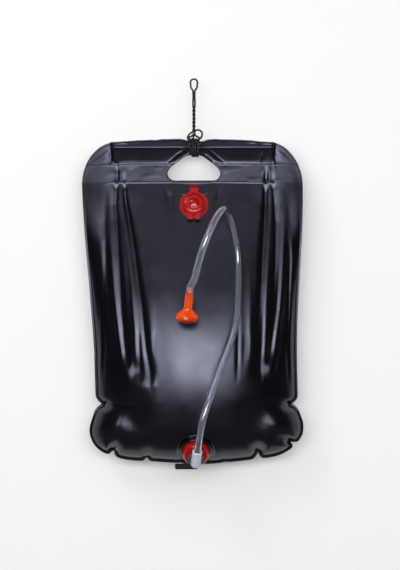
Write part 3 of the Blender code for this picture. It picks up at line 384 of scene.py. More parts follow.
def evenly(places, steps):
    points = np.array([tuple(p) for p in places])
    reach = np.r_[0, np.cumsum(np.linalg.norm(np.diff(points, axis=0), axis=1))]
    goal = np.linspace(0, reach[-1], steps + 1)
    return np.stack([np.interp(goal, reach, points[:, i]) for i in range(3)], axis=1)


def length_of(path):
    return float(np.linalg.norm(np.diff(path, axis=0), axis=1).sum())


# Hose

HOSE_RADIUS = 0.0065
HOSE_BORE_RADIUS = 0.0045
HOSE_ROUTE = (
    (0.00656, -0.09386, -0.66580), (0.00744, -0.09842, -0.65929), (0.00832, -0.10298, -0.65277),
    (0.0092, -0.1050, -0.6472), (0.0125, -0.1106, -0.6260), (0.0173, -0.1112, -0.6044),
    (0.0242, -0.1083, -0.5835), (0.0318, -0.1030, -0.5633), (0.0388, -0.0962, -0.5433),
    (0.0457, -0.0888, -0.5236), (0.0534, -0.0813, -0.5041), (0.0612, -0.0744, -0.4846),
    (0.0684, -0.0681, -0.4645), (0.0737, -0.0626, -0.4437), (0.0768, -0.0576, -0.4222),
    (0.0785, -0.0532, -0.4005), (0.0794, -0.0490, -0.3787), (0.0798, -0.0451, -0.3569),
    (0.0796, -0.0420, -0.3349), (0.0781, -0.0407, -0.3128), (0.0745, -0.0425, -0.2910),
    (0.0695, -0.0487, -0.2704), (0.0647, -0.0606, -0.2524), (0.0604, -0.0785, -0.2402),
    (0.0536, -0.0993, -0.2390), (0.0442, -0.1168, -0.2483), (0.0345, -0.1284, -0.2644),
    (0.0259, -0.1341, -0.2840), (0.0176, -0.1350, -0.3046), (0.0108, -0.1326, -0.3256),
    (0.0052, -0.1282, -0.3466), (-0.0009, -0.1230, -0.3673),
    (-0.00624, -0.12035, -0.37691), (-0.00681, -0.11921, -0.38226), (-0.00737, -0.11806, -0.38761),
)
HOSE_STEPS = 260
HOSE_SIDES = 28
BARREL_TAIL, NOZZLE_TAIL = 0.016, 0.011


def hose_radius(base, swell):
    """A tube's radius along the hose, stretched a little over each ridge of the two tails."""
    def radius_at(index, angle):
        s = index / HOSE_STEPS * HOSE_LENGTH
        total = base + 0 * angle
        for reach, length in ((s, BARREL_TAIL), (HOSE_LENGTH - s, NOZZLE_TAIL)):
            tail = np.clip(1.25 - reach / length, 0, 1)
            ridges = 0.5 + 0.5 * np.cos(reach / length * 3 * 2 * math.pi)
            total = total + swell * np.minimum(tail * 4, 1) * (0.55 + 0.45 * ridges)
        return total
    return radius_at


HOSE_PATH = smooth_route(HOSE_ROUTE, HOSE_STEPS, 24)
HOSE_LENGTH = length_of(HOSE_PATH)
hose = bored_tube(
    "clear_hose", HOSE_PATH, hose_radius(HOSE_RADIUS, 0.00022), hose_radius(HOSE_BORE_RADIUS, 0.00010),
    HOSE_SIDES, HOSE_CLEAR,
)
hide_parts("shower_hose")
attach(hose, "bag")

# Cord

CORD_RADIUS = 0.0017
CORD_SIDES = 16
CORD_STEP = 0.00036
BRAID_PITCH = 0.0058
LEG_OFFSET = 0.00152
TWIST_TURNS = 3
TWIST_TOP = -0.049
TWIST_HEIGHT = 0.042
BIGHT_RADIUS = 0.0065
BIGHT_LENGTH = 0.025
TOP_DIP = 0.0035
HITCH_GAP = 0.0007
HITCH_TOP = -CORD_DROP - TOP_DIP + FILM + HITCH_GAP + CORD_RADIUS
HITCH_BOTTOM = -CORD_DROP - 0.0295 - HITCH_GAP - CORD_RADIUS
HITCH_HALF_DEPTH = 0.0093
HITCH_RISE = 0.0106
HITCH_TURNS = 4
HITCH_PITCH = 0.0047


def leg_path():
    """Up one leg, round the bight that hangs on the hook, and down the other leg."""
    centre = CORD_RADIUS - BIGHT_RADIUS
    leg = [(LEG_OFFSET, 0, HITCH_TOP + HITCH_RISE + 0.0003)]
    steps = 12 * TWIST_TURNS
    for k in range(steps + 1):
        angle = 2 * math.pi * k / 12
        height = TWIST_TOP - TWIST_HEIGHT * (1 - k / steps)
        leg.append((LEG_OFFSET * math.cos(angle), LEG_OFFSET * math.sin(angle), height))
    leg.append((LEG_OFFSET, 0, -BIGHT_LENGTH))
    leg.append((LEG_OFFSET * 1.35, 0, -0.76 * BIGHT_LENGTH))
    leg.append((BIGHT_RADIUS * 0.80, 0, centre - 1.45 * BIGHT_RADIUS))
    for k in range(6):
        angle = math.radians(-20 + 110 * k / 6)
        leg.append((BIGHT_RADIUS * math.cos(angle), 0, centre + BIGHT_RADIUS * math.sin(angle)))
    return leg + [(0, 0, CORD_RADIUS)] + [(-x, -y, z) for x, y, z in reversed(leg)]


def rounded_square(turn):
    """A cosine or sine whose flat parts are longer, as of a cord drawn tight round a flat hem."""
    return math.copysign(abs(turn) ** (2 / 3), turn)


def hitch_path():
    """Turns round the hem and the rod, whose two ends climb over them to the legs."""
    half_height = (HITCH_TOP - HITCH_BOTTOM) / 2
    middle = (HITCH_TOP + HITCH_BOTTOM) / 2
    half_span = HITCH_TURNS * HITCH_PITCH / 2
    turns = []
    for k in range(HITCH_TURNS * 24 + 1):
        angle = 2 * math.pi * k / 24
        up = rounded_square(math.cos(angle))
        out = rounded_square(math.sin(angle))
        across = (-half_span + HITCH_PITCH * k / 24) * (0.86 + 0.16 * up)
        wander = 0.0007 * math.sin(1.9 * angle + 0.6) + 0.0012 * (1 - up)
        turns.append((across + wander, -HITCH_HALF_DEPTH * out, middle + half_height * up))
    climb = (
        (LEG_OFFSET, HITCH_RISE), (LEG_OFFSET, 0.72 * HITCH_RISE), (LEG_OFFSET + 0.12 * half_span, 0.60 * HITCH_RISE),
        (0.5 * half_span, 0.47 * HITCH_RISE), (0.78 * half_span, 0.35 * HITCH_RISE),
        (0.97 * half_span, 0.19 * HITCH_RISE),
    )
    start = [(-x, 0, HITCH_TOP + z) for x, z in climb]
    return start + turns + [(x, 0, HITCH_TOP + z) for x, z in reversed(climb)]


def knot_path():
    """One end up in front of the legs, round behind them, over in a curl, and out across the hem."""
    route = (
        (195.2, 132.6, -0.0046), (193.6, 136.6, -0.0062), (192.2, 140.4, -0.0050), (189.6, 141.0, -0.0010),
        (187.7, 138.2, 0.0012), (189.0, 134.8, 0.0034), (192.0, 132.2, 0.0052), (195.4, 130.6, 0.0044),
        (199.0, 130.0, 0.0012), (201.8, 132.2, -0.0018), (202.0, 135.6, -0.0040), (199.6, 139.0, -0.0066),
        (196.0, 141.6, -0.0088), (192.0, 143.6, -0.0104), (188.4, 145.6, -0.0112), (185.0, 147.8, -0.0110),
    )
    return [place(*spot) for spot in route]


def braided(name, route):
    """A round cord with the lozenges of a plaited cover standing out of it."""
    straight = length_of(np.array(route))
    path = smooth_route(route, int(straight / CORD_STEP), 12)
    run = length_of(path) / (len(path) - 1)

    def plaited(index, angle):
        turn = 2 * math.pi * (index * run) / BRAID_PITCH
        a = np.abs(np.sin(2 * (angle + turn)))
        b = np.abs(np.sin(2 * (angle - turn)))
        end = np.minimum(1, np.minimum(index, len(path) - 1 - index) * run / (0.6 * CORD_RADIUS))
        strands = 0.93 + 0.10 * np.maximum(a, b) - 0.06 * np.minimum(a, b)
        return CORD_RADIUS * strands * np.sqrt(0.12 + 0.88 * end)

    return solid_tube(name, path, plaited, CORD_SIDES, CORD_BLACK), path


for cord_name, node_name, route, lay, far_end in (
    ("braided_hang_cord", "hang_cord", leg_path(), "hanging", "object"),
    ("braided_hitch", "hem_hitch", hitch_path(), "coiled", "object"),
    ("braided_knot", "hang_knot", knot_path(), "coiled", "knot"),
):
    piece, line = braided(cord_name, route)
    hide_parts(node_name)
    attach(piece, "bag")


# Cap's glossy crown: radius and height over the cap's disc, in metres

CROWN = (
    (0.0005, 0.0050), (0.0012, 0.0049), (0.0024, 0.00469), (0.0036, 0.00443), (0.0048, 0.00415), (0.0060, 0.00382),
    (0.0072, 0.00340), (0.0084, 0.00287), (0.0094, 0.00240), (0.0101, 0.00216), (0.0107, 0.00210),
    (0.0114, 0.00222), (0.0122, 0.00236), (0.0132, 0.00238), (0.0146, 0.00220), (0.0160, 0.00188),
    (0.0174, 0.00142), (0.0186, 0.00080), (0.0195, 0.0001), (0.0195, -0.0004),
)
CROWN_SIDES = 72
CROWN_BASE = 0.0119
LENS_RADIUS = 0.0101
LENS_SHIFT = 0.0026


def cap_crown():
    """A lens over the cap's disc; its top stands a little above the middle, as the light on it shows."""
    face = Vector(FILLER_FACING)
    up = Vector((0, face.z, -face.y))
    centre = Vector(FILLER_ORIGIN) + face * CROWN_BASE
    verts = []
    for radius, height in reversed(CROWN):
        shift = LENS_SHIFT * max(0, 1 - radius / LENS_RADIUS)
        for k in range(CROWN_SIDES):
            angle = 2 * math.pi * k / CROWN_SIDES
            spot = Vector((1, 0, 0)) * (radius * math.cos(angle)) + up * (radius * math.sin(angle) + shift)
            verts.append(centre + spot + face * height)
    return link_mesh("cap_crown", verts, capped_faces(len(CROWN), CROWN_SIDES), RED)


crown = cap_crown()
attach(crown, "cap")


# Bag: outline in picture pixels at the seam, without its puckers. The sides are (row, x) and the top and
# the bottom are (x, row)

LEFT = (
    (142, 112), (144, 106.1), (146, 101.8), (148, 99), (150, 96.5), (152, 94.5), (156, 91), (160, 88.4),
    (165, 85.9), (172, 83.5), (178, 82.4), (184, 82), (196, 82.4), (208, 83.1), (232, 84.6), (256, 86.5),
    (280, 88.9), (304, 90.7), (328, 92.7), (352, 94.3), (376, 94.9), (388, 95.3), (397, 95.4), (406, 95.0),
    (412, 94.0), (418, 92.4), (424, 90.4), (430, 89.4), (436, 90.1), (439, 91.3), (442, 92.6), (445, 94.4),
    (448, 97.1), (451, 101),
)
RIGHT = (
    (142, 272.8), (144, 278.8), (146, 282.8), (148, 285.3), (150, 287.7), (152, 289.6), (156, 293),
    (160, 295.7), (165, 298.4), (172, 300.8), (178, 302.1), (184, 302.7), (196, 302.8), (208, 302.7),
    (232, 302.1), (256, 300.8), (280, 299.4), (304, 298), (328, 297.1), (352, 296.8), (376, 297.3),
    (388, 297.6), (400, 298.2), (409, 299), (415, 300.6), (421, 302.8), (427, 303.5), (433, 302.8),
    (436, 301.6), (439, 299.9), (442, 298), (445, 295.6), (447.5, 292),
)
TOP = (
    (112, 142), (114, 141.9), (120, 141.6), (126, 141.1), (132, 140.7), (138, 140.3), (144, 140.1),
    (150, 139.7), (156, 140), (162, 139.1), (168, 139.1), (174, 138.9), (180, 138.8), (184, 139.4),
    (188, 140.8), (194, 141.6), (200, 141.4), (204, 141), (207, 139.6), (210, 139.3), (216, 139),
    (222, 139.3), (228, 139.4), (240, 139.7), (246, 140), (252, 140.4), (258, 141.1), (264, 141.7), (272.8, 142),
)
BOTTOM = (
    (101, 451), (104, 452.8), (108, 454.6), (112.5, 456), (118, 457.6), (124, 459.2), (132, 460.3),
    (140, 460.8), (156, 461.5), (169, 462.4), (180, 463.2), (196, 463.8), (209, 463.8), (216, 463.3),
    (232, 461.8), (246, 460.2), (258, 459), (266, 458), (275, 456.4), (282, 454), (288, 450.6), (292, 447.5),
)
TOP_ROW = 142
CORNER_LEFT, CORNER_RIGHT = 451.0, 447.5
SKEW_ROW = 430


def soft_table(pairs, at, blur=1.2):
    """A table's value with its corners rounded over a few pixels."""
    pairs = np.asarray(pairs, float)
    low, high = pairs[0, 0], pairs[-1, 0]
    total = 0
    weights = 0
    for k in range(-4, 5):
        weight = math.exp(-(k / 2.2) ** 2)
        total = total + weight * np.interp(np.clip(at + k * blur / 2, low, high), pairs[:, 0], pairs[:, 1])
        weights += weight
    ease = np.clip(np.minimum(at - low, high - at) / (2 * blur), 0, 1)
    return ease * total / weights + (1 - ease) * np.interp(at, pairs[:, 0], pairs[:, 1])


def smoothstep(value, low, high):
    t = np.clip((value - low) / (high - low), 0, 1)
    return t * t * (3 - 2 * t)


def row_places():
    """The film's rows, closer where the hem, the welds and the bottom seam are."""
    parts = (
        (142, 150, 0.55), (150, 163, 0.85), (163, 166.2, 0.32), (166.2, 181, 0.9), (181, 184.6, 0.32),
        (184.6, 200, 0.9), (200, 400, 1.25), (400, 440, 1.0), (440, 448, 0.7), (448, 451.01, 0.42),
    )
    rows = []
    for low, high, step in parts:
        rows += list(np.arange(low, high - step / 3, step))
    return np.array(rows[:-1] + [CORNER_LEFT])


def column_places():
    """The film's columns from -1 to 1, closer along the two side seams."""
    inner = np.linspace(-0.965, 0.965, 196)
    edge = np.array([0.971, 0.977, 0.983, 0.988, 0.992, 0.996, 1.0])
    return np.concatenate([-edge[::-1], inner, edge])


def plane_grid():
    """Picture places of the film's points when it lies flat, rows from the hem down."""
    rows = row_places()[:, None]
    share = (column_places()[None, :] + 1) / 2
    skew = (CORNER_RIGHT - SKEW_ROW) / (CORNER_LEFT - SKEW_ROW)
    right_rows = np.where(rows < SKEW_ROW, rows, SKEW_ROW + (rows - SKEW_ROW) * skew)
    left = soft_table(LEFT, rows)
    right = soft_table(RIGHT, right_rows)
    px = left + (right - left) * share
    py = rows + (right_rows - rows) * share
    top_x = TOP[0][0] + (TOP[-1][0] - TOP[0][0]) * share
    bottom_x = BOTTOM[0][0] + (BOTTOM[-1][0] - BOTTOM[0][0]) * share
    top_lift = soft_table(TOP, top_x) - TOP_ROW
    bottom_lift = soft_table(BOTTOM, bottom_x, 2) - (CORNER_LEFT + (CORNER_RIGHT - CORNER_LEFT) * share)
    py = py + top_lift * (1 - smoothstep(rows, TOP_ROW, 158)) + bottom_lift * smoothstep(rows, 396, CORNER_LEFT) ** 1.2
    return px, py


def nearest(px, py, line):
    """Distance from each place to a polyline, and how far along it the nearest point is, in segments."""
    best = np.full(px.shape, 1e9)
    along = np.zeros(px.shape)
    for i in range(len(line) - 1):
        ax, ay = line[i][:2]
        bx, by = line[i + 1][:2]
        dx, dy = bx - ax, by - ay
        t = np.clip(((px - ax) * dx + (py - ay) * dy) / (dx * dx + dy * dy + 1e-12), 0, 1)
        d = np.hypot(px - ax - t * dx, py - ay - t * dy)
        nearer = d < best
        best = np.where(nearer, d, best)
        along = np.where(nearer, i + t, along)
    return best, along


# Puckers of the seam: place, way in, pull, half width and reach in pixels, and depth of groove in metres
PUCKERS = (
    ((95.2, 403.5), (1, 0.02), 7.0, 3.4, 9, 0.004),
    ((298.6, 403.5), (-1, 0.02), 7.2, 3.2, 9, 0.004),
    ((112.0, 456.2), (0.25, -0.97), 8.6, 2.0, 7, 0.004),
    ((146.7, 461.2), (0, -1), 4.4, 1.9, 4, 0.0015),
    ((257.8, 459.0), (0.02, -1), 7.8, 2.3, 6, 0.003),
    ((295.4, 444.6), (-0.85, -0.53), 7.2, 2.0, 6, 0.0035),
    ((180.0, 463.4), (0, -1), 0.8, 2.0, 3, 0.0004),
    ((225.0, 462.6), (0, -1), 0.7, 3.0, 3, 0.0004),
)


def puckers(px, py):
    """How far each place is pulled in, in pixels, and how deep the groove is there."""
    dx, dy, groove = np.zeros_like(px), np.zeros_like(px), np.zeros_like(px)
    for (cx, cy), way, pull, width, reach, deep in PUCKERS:
        way = np.array(way) / math.hypot(*way)
        inward = (px - cx) * way[0] + (py - cy) * way[1]
        aside = (px - cx) * -way[1] + (py - cy) * way[0]
        run = np.clip(inward, 0, None) / reach
        near = np.exp(-(np.abs(aside) / width) ** 1.25) * np.exp(-run)
        dx += way[0] * pull * near
        dy += way[1] * pull * near
        groove += deep * np.exp(-(np.abs(aside) / (1.2 * width)) ** 1.5) * run * np.exp(1 - run)
    return dx, dy, groove


FLAT_X, FLAT_Y = plane_grid()
PULL_X, PULL_Y, GROOVE = puckers(FLAT_X, FLAT_Y)
PX, PY = FLAT_X + PULL_X, FLAT_Y + PULL_Y
GRID = np.stack([PX, PY], 2)
EDGE_LINE = np.concatenate([GRID[0, ::3], GRID[::3, -1], GRID[-1, ::-3], GRID[::-3, 0]])
EDGE = nearest(PX, PY, EDGE_LINE)[0] * PIXEL

# Places in metres before the film is blown out
X = EYE.x + (PX - CENTRE_X) * PIXEL
Z = EYE.z - (PY - CENTRE_Y) * PIXEL
DROP = -Z - CORD_DROP

HALF_WIDTH = 0.194
SIDE_ROUND = 2.2
SEAM_HOLD = 1.45
SEAM_BLEND = 8


def belly(drop):
    """Depth of the full bag in the middle of its width."""
    fill = np.clip((drop - HEADER_DROP) / (BELLY_DROP - HEADER_DROP), 0, 1)
    down = np.clip((drop - BELLY_DROP) / (FLOOR_DROP + 0.004 - BELLY_DROP), 0, 1)
    upper = np.sin(fill * math.pi / 2) ** 1.05
    return BELLY_DEPTH * np.where(drop < BELLY_DROP, upper, (1 - down**2.6) ** (1 / 2.6))


def pillow():
    """The full bag's depth either side of the seam plane, tucked in along the real seam."""
    left = soft_table(LEFT, FLAT_Y)
    right = soft_table(RIGHT, np.clip(FLAT_Y, TOP_ROW, CORNER_RIGHT))
    middle = (left + right) / 2
    half = (right - left) / 2 * PIXEL - RIM
    across = np.clip(np.abs(FLAT_X - middle) * PIXEL / half, 0, 1)
    body = belly(DROP) * (1 - across**SIDE_ROUND) ** 0.7
    inside = np.clip(EDGE - RIM, 0, HALF_WIDTH)
    seam = SEAM_HOLD * BELLY_DEPTH * (1 - (1 - inside / HALF_WIDTH) ** SIDE_ROUND) ** 0.7
    return (np.maximum(body, 1e-9) ** -SEAM_BLEND + np.maximum(seam, 1e-9) ** -SEAM_BLEND) ** (-1 / SEAM_BLEND)


# Profiles down the bag as (drop, height): the hem's tunnel over the rod, and the header's lean to the front
HEM_PROFILE = (
    (0, 0), (0.0012, 0.0026), (0.003, 0.0040), (0.0055, 0.0051), (0.0085, 0.00575), (0.012, 0.0063),
    (0.0143, 0.00675), (0.0156, 0.0069), (0.0172, 0.0067), (0.0188, 0.0060), (0.0205, 0.0052),
    (0.025, 0.0041), (0.031, 0.0027), (0.038, 0.0013), (0.0445, 0.0003), (0.0485, 0),
)
LEAN_PROFILE = ((0, 0), (0.040, 0), (0.047, 0.0003), (0.0795, 0.0026), (0.095, 0.0022), (0.120, 0.0009), (0.150, 0))


def hem():
    """The tunnel that the rod fills, flat beyond the rod's two ends."""
    table = np.array(HEM_PROFILE)
    wave = np.interp(np.clip(DROP, 0, HEM_PROFILE[-1][0]), table[:, 0], table[:, 1])
    held = smoothstep(PX, 110.5, 114) * (1 - smoothstep(PX, 272, 275.5))
    return wave * held * np.clip(EDGE / 0.0022, 0, 1) ** 0.5


def lean():
    table = np.array(LEAN_PROFILE)
    return np.interp(DROP, table[:, 0], table[:, 1]) * smoothstep(EDGE, 0, 0.02)


# Fittings in the front film: place, tilt in degrees, the hole's radius, the radius of the flat film round it,
# how wide the way out of the flat is, and the radius that stays free of folds
Fitting = namedtuple("Fitting", "x drop tilt hole flat fade smooth")
FITTINGS = (
    Fitting(x=0, drop=0.121, tilt=14, hole=0.0176, flat=0.0300, fade=0.0300, smooth=0.029),
    Fitting(x=0.0037, drop=BAG_HEIGHT - 0.0281, tilt=-35, hole=0.0106, flat=0.0252, fade=0.0095, smooth=0.027),
)


def flattened(depth, fitting):
    """Draws the film flat round a fitting, square to the fitting's axis."""
    tilt = math.radians(fitting.tilt)
    rise = (fitting.drop - DROP) / math.cos(tilt)
    away = (np.hypot(X - fitting.x, rise) - fitting.flat) / fitting.fade
    keep = 1 - smoothstep(away, 0, 1)
    flat = float(belly(fitting.drop)) - math.tan(tilt) * (fitting.drop - DROP)
    return np.maximum(0, depth * (1 - keep) + flat * keep)


# Pleats whose crests lie square to the camera: their lines as (px, py, strength), their half width in
# pixels, and how much of the film above the crest is drawn down to it
PLEATS = (
    (((111.2, 225, 0), (112.5, 240, .5), (114.2, 260, .7), (115.8, 287, .85), (118, 310, .95), (120.8, 335, 1),
      (123.8, 355, 1), (126.5, 368, .8), (129, 380, 0)), 4.0, 1),
    (((117.5, 165, 0), (121.7, 185, .5), (123.7, 203, .6), (125.8, 223, .7), (129, 247, .7), (132.5, 267, .8),
      (134.2, 283, .8), (135.2, 307, .9), (136.7, 327, 1), (137.5, 343, 1), (138.3, 360, 1), (138.5, 372, .8),
      (138, 386, 0)), 3.2, 1),
    (((153, 240, 0), (154, 275, .4), (155.5, 300, .6), (156, 330, .7), (157.5, 350, .8), (161, 368, .8),
      (159, 384, .5), (156, 398, 0)), 6.0, 0.1),
    (((247, 255, 0), (247, 300, .8), (247, 340, 1), (245.5, 360, .7), (243, 378, 0)), 4.6, 0.35),
    (((269.2, 183, 0), (268.5, 195, .6), (268, 210, .7), (267, 235, .7), (265.8, 260, .7), (265.3, 277, .75),
      (264.7, 302, .9), (264.2, 327, 1), (263.3, 343, 1), (262.2, 360, 1), (262.3, 372, .8), (262, 386, 0)), 3.0, 1),
    (((284, 195, 0), (282.5, 215, .6), (282, 235, .7), (281.3, 260, .75), (280, 287, .85), (278.3, 310, .95),
      (275.8, 328, 1), (272.8, 345, 1), (270.6, 358, .9), (268, 370, .4), (266, 380, 0)), 3.6, 1),
    (((291.5, 235, 0), (291.5, 260, .5), (290, 300, .6), (288.5, 340, .6), (289.5, 370, .4), (291, 390, 0)), 2.4, 1),
    (((104, 230, 0), (103, 280, .25), (102.5, 310, .4), (102.8, 350, .45), (101, 385, 0)), 2.4, 1),
)
# Bosses that face the camera: px, py, half width and half height in pixels, strength, and how much of the
# film above them is drawn down
BOSSES = (
    (132.5, 371, 10, 11, 0.85, 1), (150, 385, 18, 9, 0.5, 0), (265.5, 368, 9, 11, 0.85, 1), (123, 424, 21, 15, 0.66, 1),
    (267, 424, 22, 16, 0.76, 1), (283, 440, 7, 7, 0.3, 1),
)
# From this row down the crests keep facing the camera, wherever the belly goes
ANCHOR_ROW = 328
# Folds: their lines as (px, py, strength), their height in metres, and their half width in pixels, one
# number or one at each point
FOLDS = (
    # left end of the rod
    (((117.5, 160, 0), (117.5, 170, .8), (116.4, 188, .8), (115.5, 205, 1), (117, 225, 1), (118.5, 250, 1),
      (120.5, 278, .8), (122.8, 305, .7), (125, 330, .6), (127.8, 348, .4), (130, 362, 0)), -0.0018, 2.3),
    (((124, 172, 0), (124.5, 188, .6), (126.3, 205, 1), (130, 225, 1), (134, 250, 1), (137.5, 275, 1),
      (141.5, 305, .9), (144, 330, .8), (146.2, 350, .9), (149.5, 367, 1), (150.5, 376, .7), (151, 386, 0)),
     -0.0026, (1.6, 2.0, 2.4, 2.8, 3.2, 3.4, 3.4, 3.4, 3.6, 4.4, 4.6, 4.6)),
    (((107, 190, 0), (105, 225, .7), (106.5, 262, .9), (109.5, 300, 1), (113.5, 335, 1), (119.5, 362, .8),
      (128, 384, 0)), -0.0016, 3.4),
    # right end of the rod
    (((266.5, 166, 0), (266, 178, .8), (265.3, 200, 1), (264.3, 225, 1), (262.6, 250, 1), (261.4, 275, .9),
      (259.5, 305, .6), (258.6, 330, .4), (258, 350, .3), (257.5, 368, 0)),
     -0.0028, (1.4, 2.0, 2.4, 2.8, 3.0, 3.0, 2.6, 2.4, 2.2, 2.2)),
    (((272.4, 172, 0), (273.2, 185, .7), (275, 205, 1), (275.8, 228, 1), (275.2, 260, 1), (273.7, 290, .9),
      (271.8, 315, .7), (270, 332, .4), (268, 348, 0)), -0.0017, 2.2),
    (((287.5, 225, 0), (288, 255, .8), (287.4, 287, 1), (285.6, 320, 1), (282.2, 350, 1), (277, 372, .5),
      (272, 388, 0)), -0.0016, 2.8),
    # shoulders
    (((104, 183, 0), (104, 192, 1), (103.5, 206, 1), (103, 222, .6), (103, 240, 0)), -0.0017, 4.2),
    (((288, 183, 0), (288, 192, 1), (289, 206, 1), (290, 222, .6), (291, 240, 0)), -0.0019, 4.6),
    # lower belly
    (((238.5, 296, 0), (238.3, 330, .8), (237.8, 360, 1), (237, 384, 0)), -0.0012, 2.0),
    # under the handle
    (((160, 184, 0), (163, 200, .8), (168, 225, .6), (171, 250, 0)), 0.0010, 1.8),
    (((164.5, 184, 0), (169, 197, 1), (174, 214, .7), (178, 226, 0)), -0.0014, 2.6),
    (((172.5, 184, 0), (175, 195, .8), (178.7, 210, 1), (184, 216, .6), (188, 221, 0)), 0.0010, 1.2),
    (((222.5, 184, 0), (219.5, 195, .8), (215.5, 207, .5), (212, 215, 0)), -0.0014, 2.4),
    (((216.5, 184, 0), (213, 197, .7), (209, 211, .8), (204, 217, 0)), 0.0009, 1.2),
    (((227, 184, 0), (228, 200, .7), (229, 225, .4), (229, 240, 0)), 0.0008, 2.2),
    # fans from the knot
    (((188, 149, 0), (185, 150, 1), (177, 155, 1), (170, 161, .8), (167, 163.5, 0)), 0.0010, 0.9),
    (((189, 152, 0), (184, 155, 1), (177, 160, .8), (173, 163.5, 0)), -0.0010, 1.1),
    (((190, 153, 0), (186, 157, 1), (181, 160.5, 0)), 0.0009, 0.9),
    (((205, 149, 0), (209, 150, 1), (216, 156, 1), (222, 161, .8), (225, 163.5, 0)), 0.0010, 0.9),
    (((204, 152, 0), (208, 154, 1), (215, 160, .8), (219, 163.5, 0)), -0.0010, 1.1),
    (((203, 153, 0), (206, 156, 1), (212, 161, 0)), 0.0009, 0.9),
    # short folds at the rod's ends, between the hem and the weld
    (((109, 150, 0), (102.5, 157.5, 1), (94, 162.5, .8), (88, 164, 0)), 0.0010, 2.4),
    (((111.5, 148, 0), (111, 155, 1), (110.5, 163, .4), (110.5, 165, 0)), -0.0016, 1.1),
    (((113.5, 149, 0), (114.5, 155, 1), (115, 163, .4)), 0.0012, 1.0),
    (((117, 152, 0), (118.7, 162, .8), (119.8, 172, .8), (121.6, 184, .4), (122, 190, 0)), 0.0008, 0.8),
    (((264, 150, 0), (262, 156, 1), (260, 163, .3)), 0.0010, 1.0),
    (((270, 151, 0), (269, 160, .8), (269.3, 172, .8), (269.2, 183, .6), (268.6, 190, 0)), 0.0009, 0.8),
    (((272.5, 149, 0), (273, 156, .9), (274.5, 168, .5), (276, 181, .2), (276.5, 185, 0)), 0.0009, 0.8),
    (((274.5, 150, 0), (275, 156, 1), (276, 163, .3)), -0.0014, 1.1),
    (((277, 149, 0), (283, 156, 1), (292, 163, .3)), 0.0009, 2.0),
)
# Beads of the welds under the hem, over the filler and round its strap: height in metres, and the line
WELDS = (
    (0.00028, ((84, 165.4, 1), (110, 164.9, 1), (150, 164.2, 1), (171, 163.8, 1), (193, 163.6, 1), (222, 163.5, 1),
      (250, 163.8, 1), (300, 164.8, 1))),
    (0.00028, ((80, 183.4, 1), (116, 182.7, 1), (160, 182.5, 1), (193, 182.4, 1), (230, 182.4, 1), (268, 182.8, 1),
      (305, 183.4, 1))),
    (0.00050, ((172, 183, 0), (173, 183.8, 1), (179.3, 192.2, 1), (181.5, 193.6, 1), (193, 193.8, 1),
      (205.5, 193.6, 1), (208, 192.2, 1), (213.8, 183.8, 1), (215, 183, 0))),
)


def ridge(px, py, line, sharp, width):
    """A rounded ridge of height 1 along a line; width is one number or one at each of its points."""
    away, along = nearest(px, py, line)
    steps = np.arange(len(line))
    strength = np.interp(along, steps, [point[2] for point in line])
    if not np.isscalar(width):
        width = np.interp(along, steps, width)
    return strength * np.exp(-((away / width) ** sharp))


def facing(py, base):
    """Rise of a film that mirrors the main light into the camera, from a row of the picture on."""
    tilt = ((py - CENTRE_Y) / FOCAL + 0.115) / 2
    return tilt * (py - base) * PIXEL


def drawn(out, level, strength, sink):
    """Draws the film towards a level; sink is the share of that draw where the film stands above it."""
    lift = level - out
    return out + strength * np.where(lift < 0, lift * sink, lift)


def pleated(depth, px, py, hold):
    """Draws the film out level across each pleat's crest, as if the crest faced the camera."""
    rows = np.median(py, axis=1)
    held = np.argmin(np.abs(rows - ANCHOR_ROW))
    out = depth
    for line, width, sink in PLEATS:
        line = np.array(line)
        centre = np.interp(rows, line[:, 1], line[:, 0])
        strength = np.interp(rows, line[:, 1], line[:, 2], left=0, right=0)[:, None]
        level = np.array([np.interp(c, xs, ds) for c, xs, ds in zip(centre, px, depth)])[:, None]
        anchored = level[held] + facing(rows, ANCHOR_ROW)[:, None]
        level += 0.7 * smoothstep(rows, ANCHOR_ROW, ANCHOR_ROW + 8)[:, None] * np.minimum(anchored - level, 0)
        reach = np.abs(px - centre[:, None]) / width
        out = drawn(out, level, hold * strength * np.exp(-(reach**2.6)), sink)
    for bx, by, wide, high, strength, sink in BOSSES:
        row = np.argmin(np.abs(rows - by))
        level = np.interp(bx, px[row], depth[row]) + facing(py, by)
        reach = np.hypot((px - bx) / wide, (py - by) / high)
        out = drawn(out, level, hold * strength * np.exp(-(reach**2.2)), sink)
    return out


def folded(px, py):
    total = np.zeros_like(px)
    for line, height, width in FOLDS:
        total += height * ridge(px, py, line, 1.8, width)
    return total


def waves(x, y, seed):
    """Smooth repeatable noise from a few crossed waves."""
    total = np.zeros_like(x)
    rng = np.random.RandomState(seed)
    for _ in range(7):
        angle = rng.uniform(0, math.pi)
        pitch = rng.uniform(0.6, 1.6)
        total += np.sin((x * math.cos(angle) + y * math.sin(angle)) * pitch + rng.uniform(0, 6.28))
    return total / 7


def inside_outline(px, py, outline):
    outline = np.asarray(outline, float)
    inside = np.zeros(px.shape, bool)
    for (ax, ay), (bx, by) in zip(outline, np.roll(outline, -1, axis=0)):
        crosses = (ay > py) != (by > py)
        with np.errstate(divide="ignore", invalid="ignore"):
            at = (bx - ax) * (py - ay) / (by - ay) + ax
        inside ^= crosses & (px < at)
    return inside


def handle_hole():
    """The carrying hole's outline in metres from the cord's line and down from the hem."""
    half, floor, top, corner = 0.048, 0.076, 0.0295, 0.013
    right = []
    for k in range(9):
        turn = math.radians(90 * k / 8)
        right.append((half - corner + corner * math.sin(turn), floor - corner * (1 - math.cos(turn))))
    shoulder = ((0.99, 0.34), (0.95, 0.43), (0.88, 0.52), (0.72, 0.66), (0.50, 0.83), (0.30, 0.97), (0.16, 1.0))
    right += [(half * x, floor - (floor - top) * up) for x, up in shoulder]
    return right + [(-x, drop) for x, drop in reversed(right)]


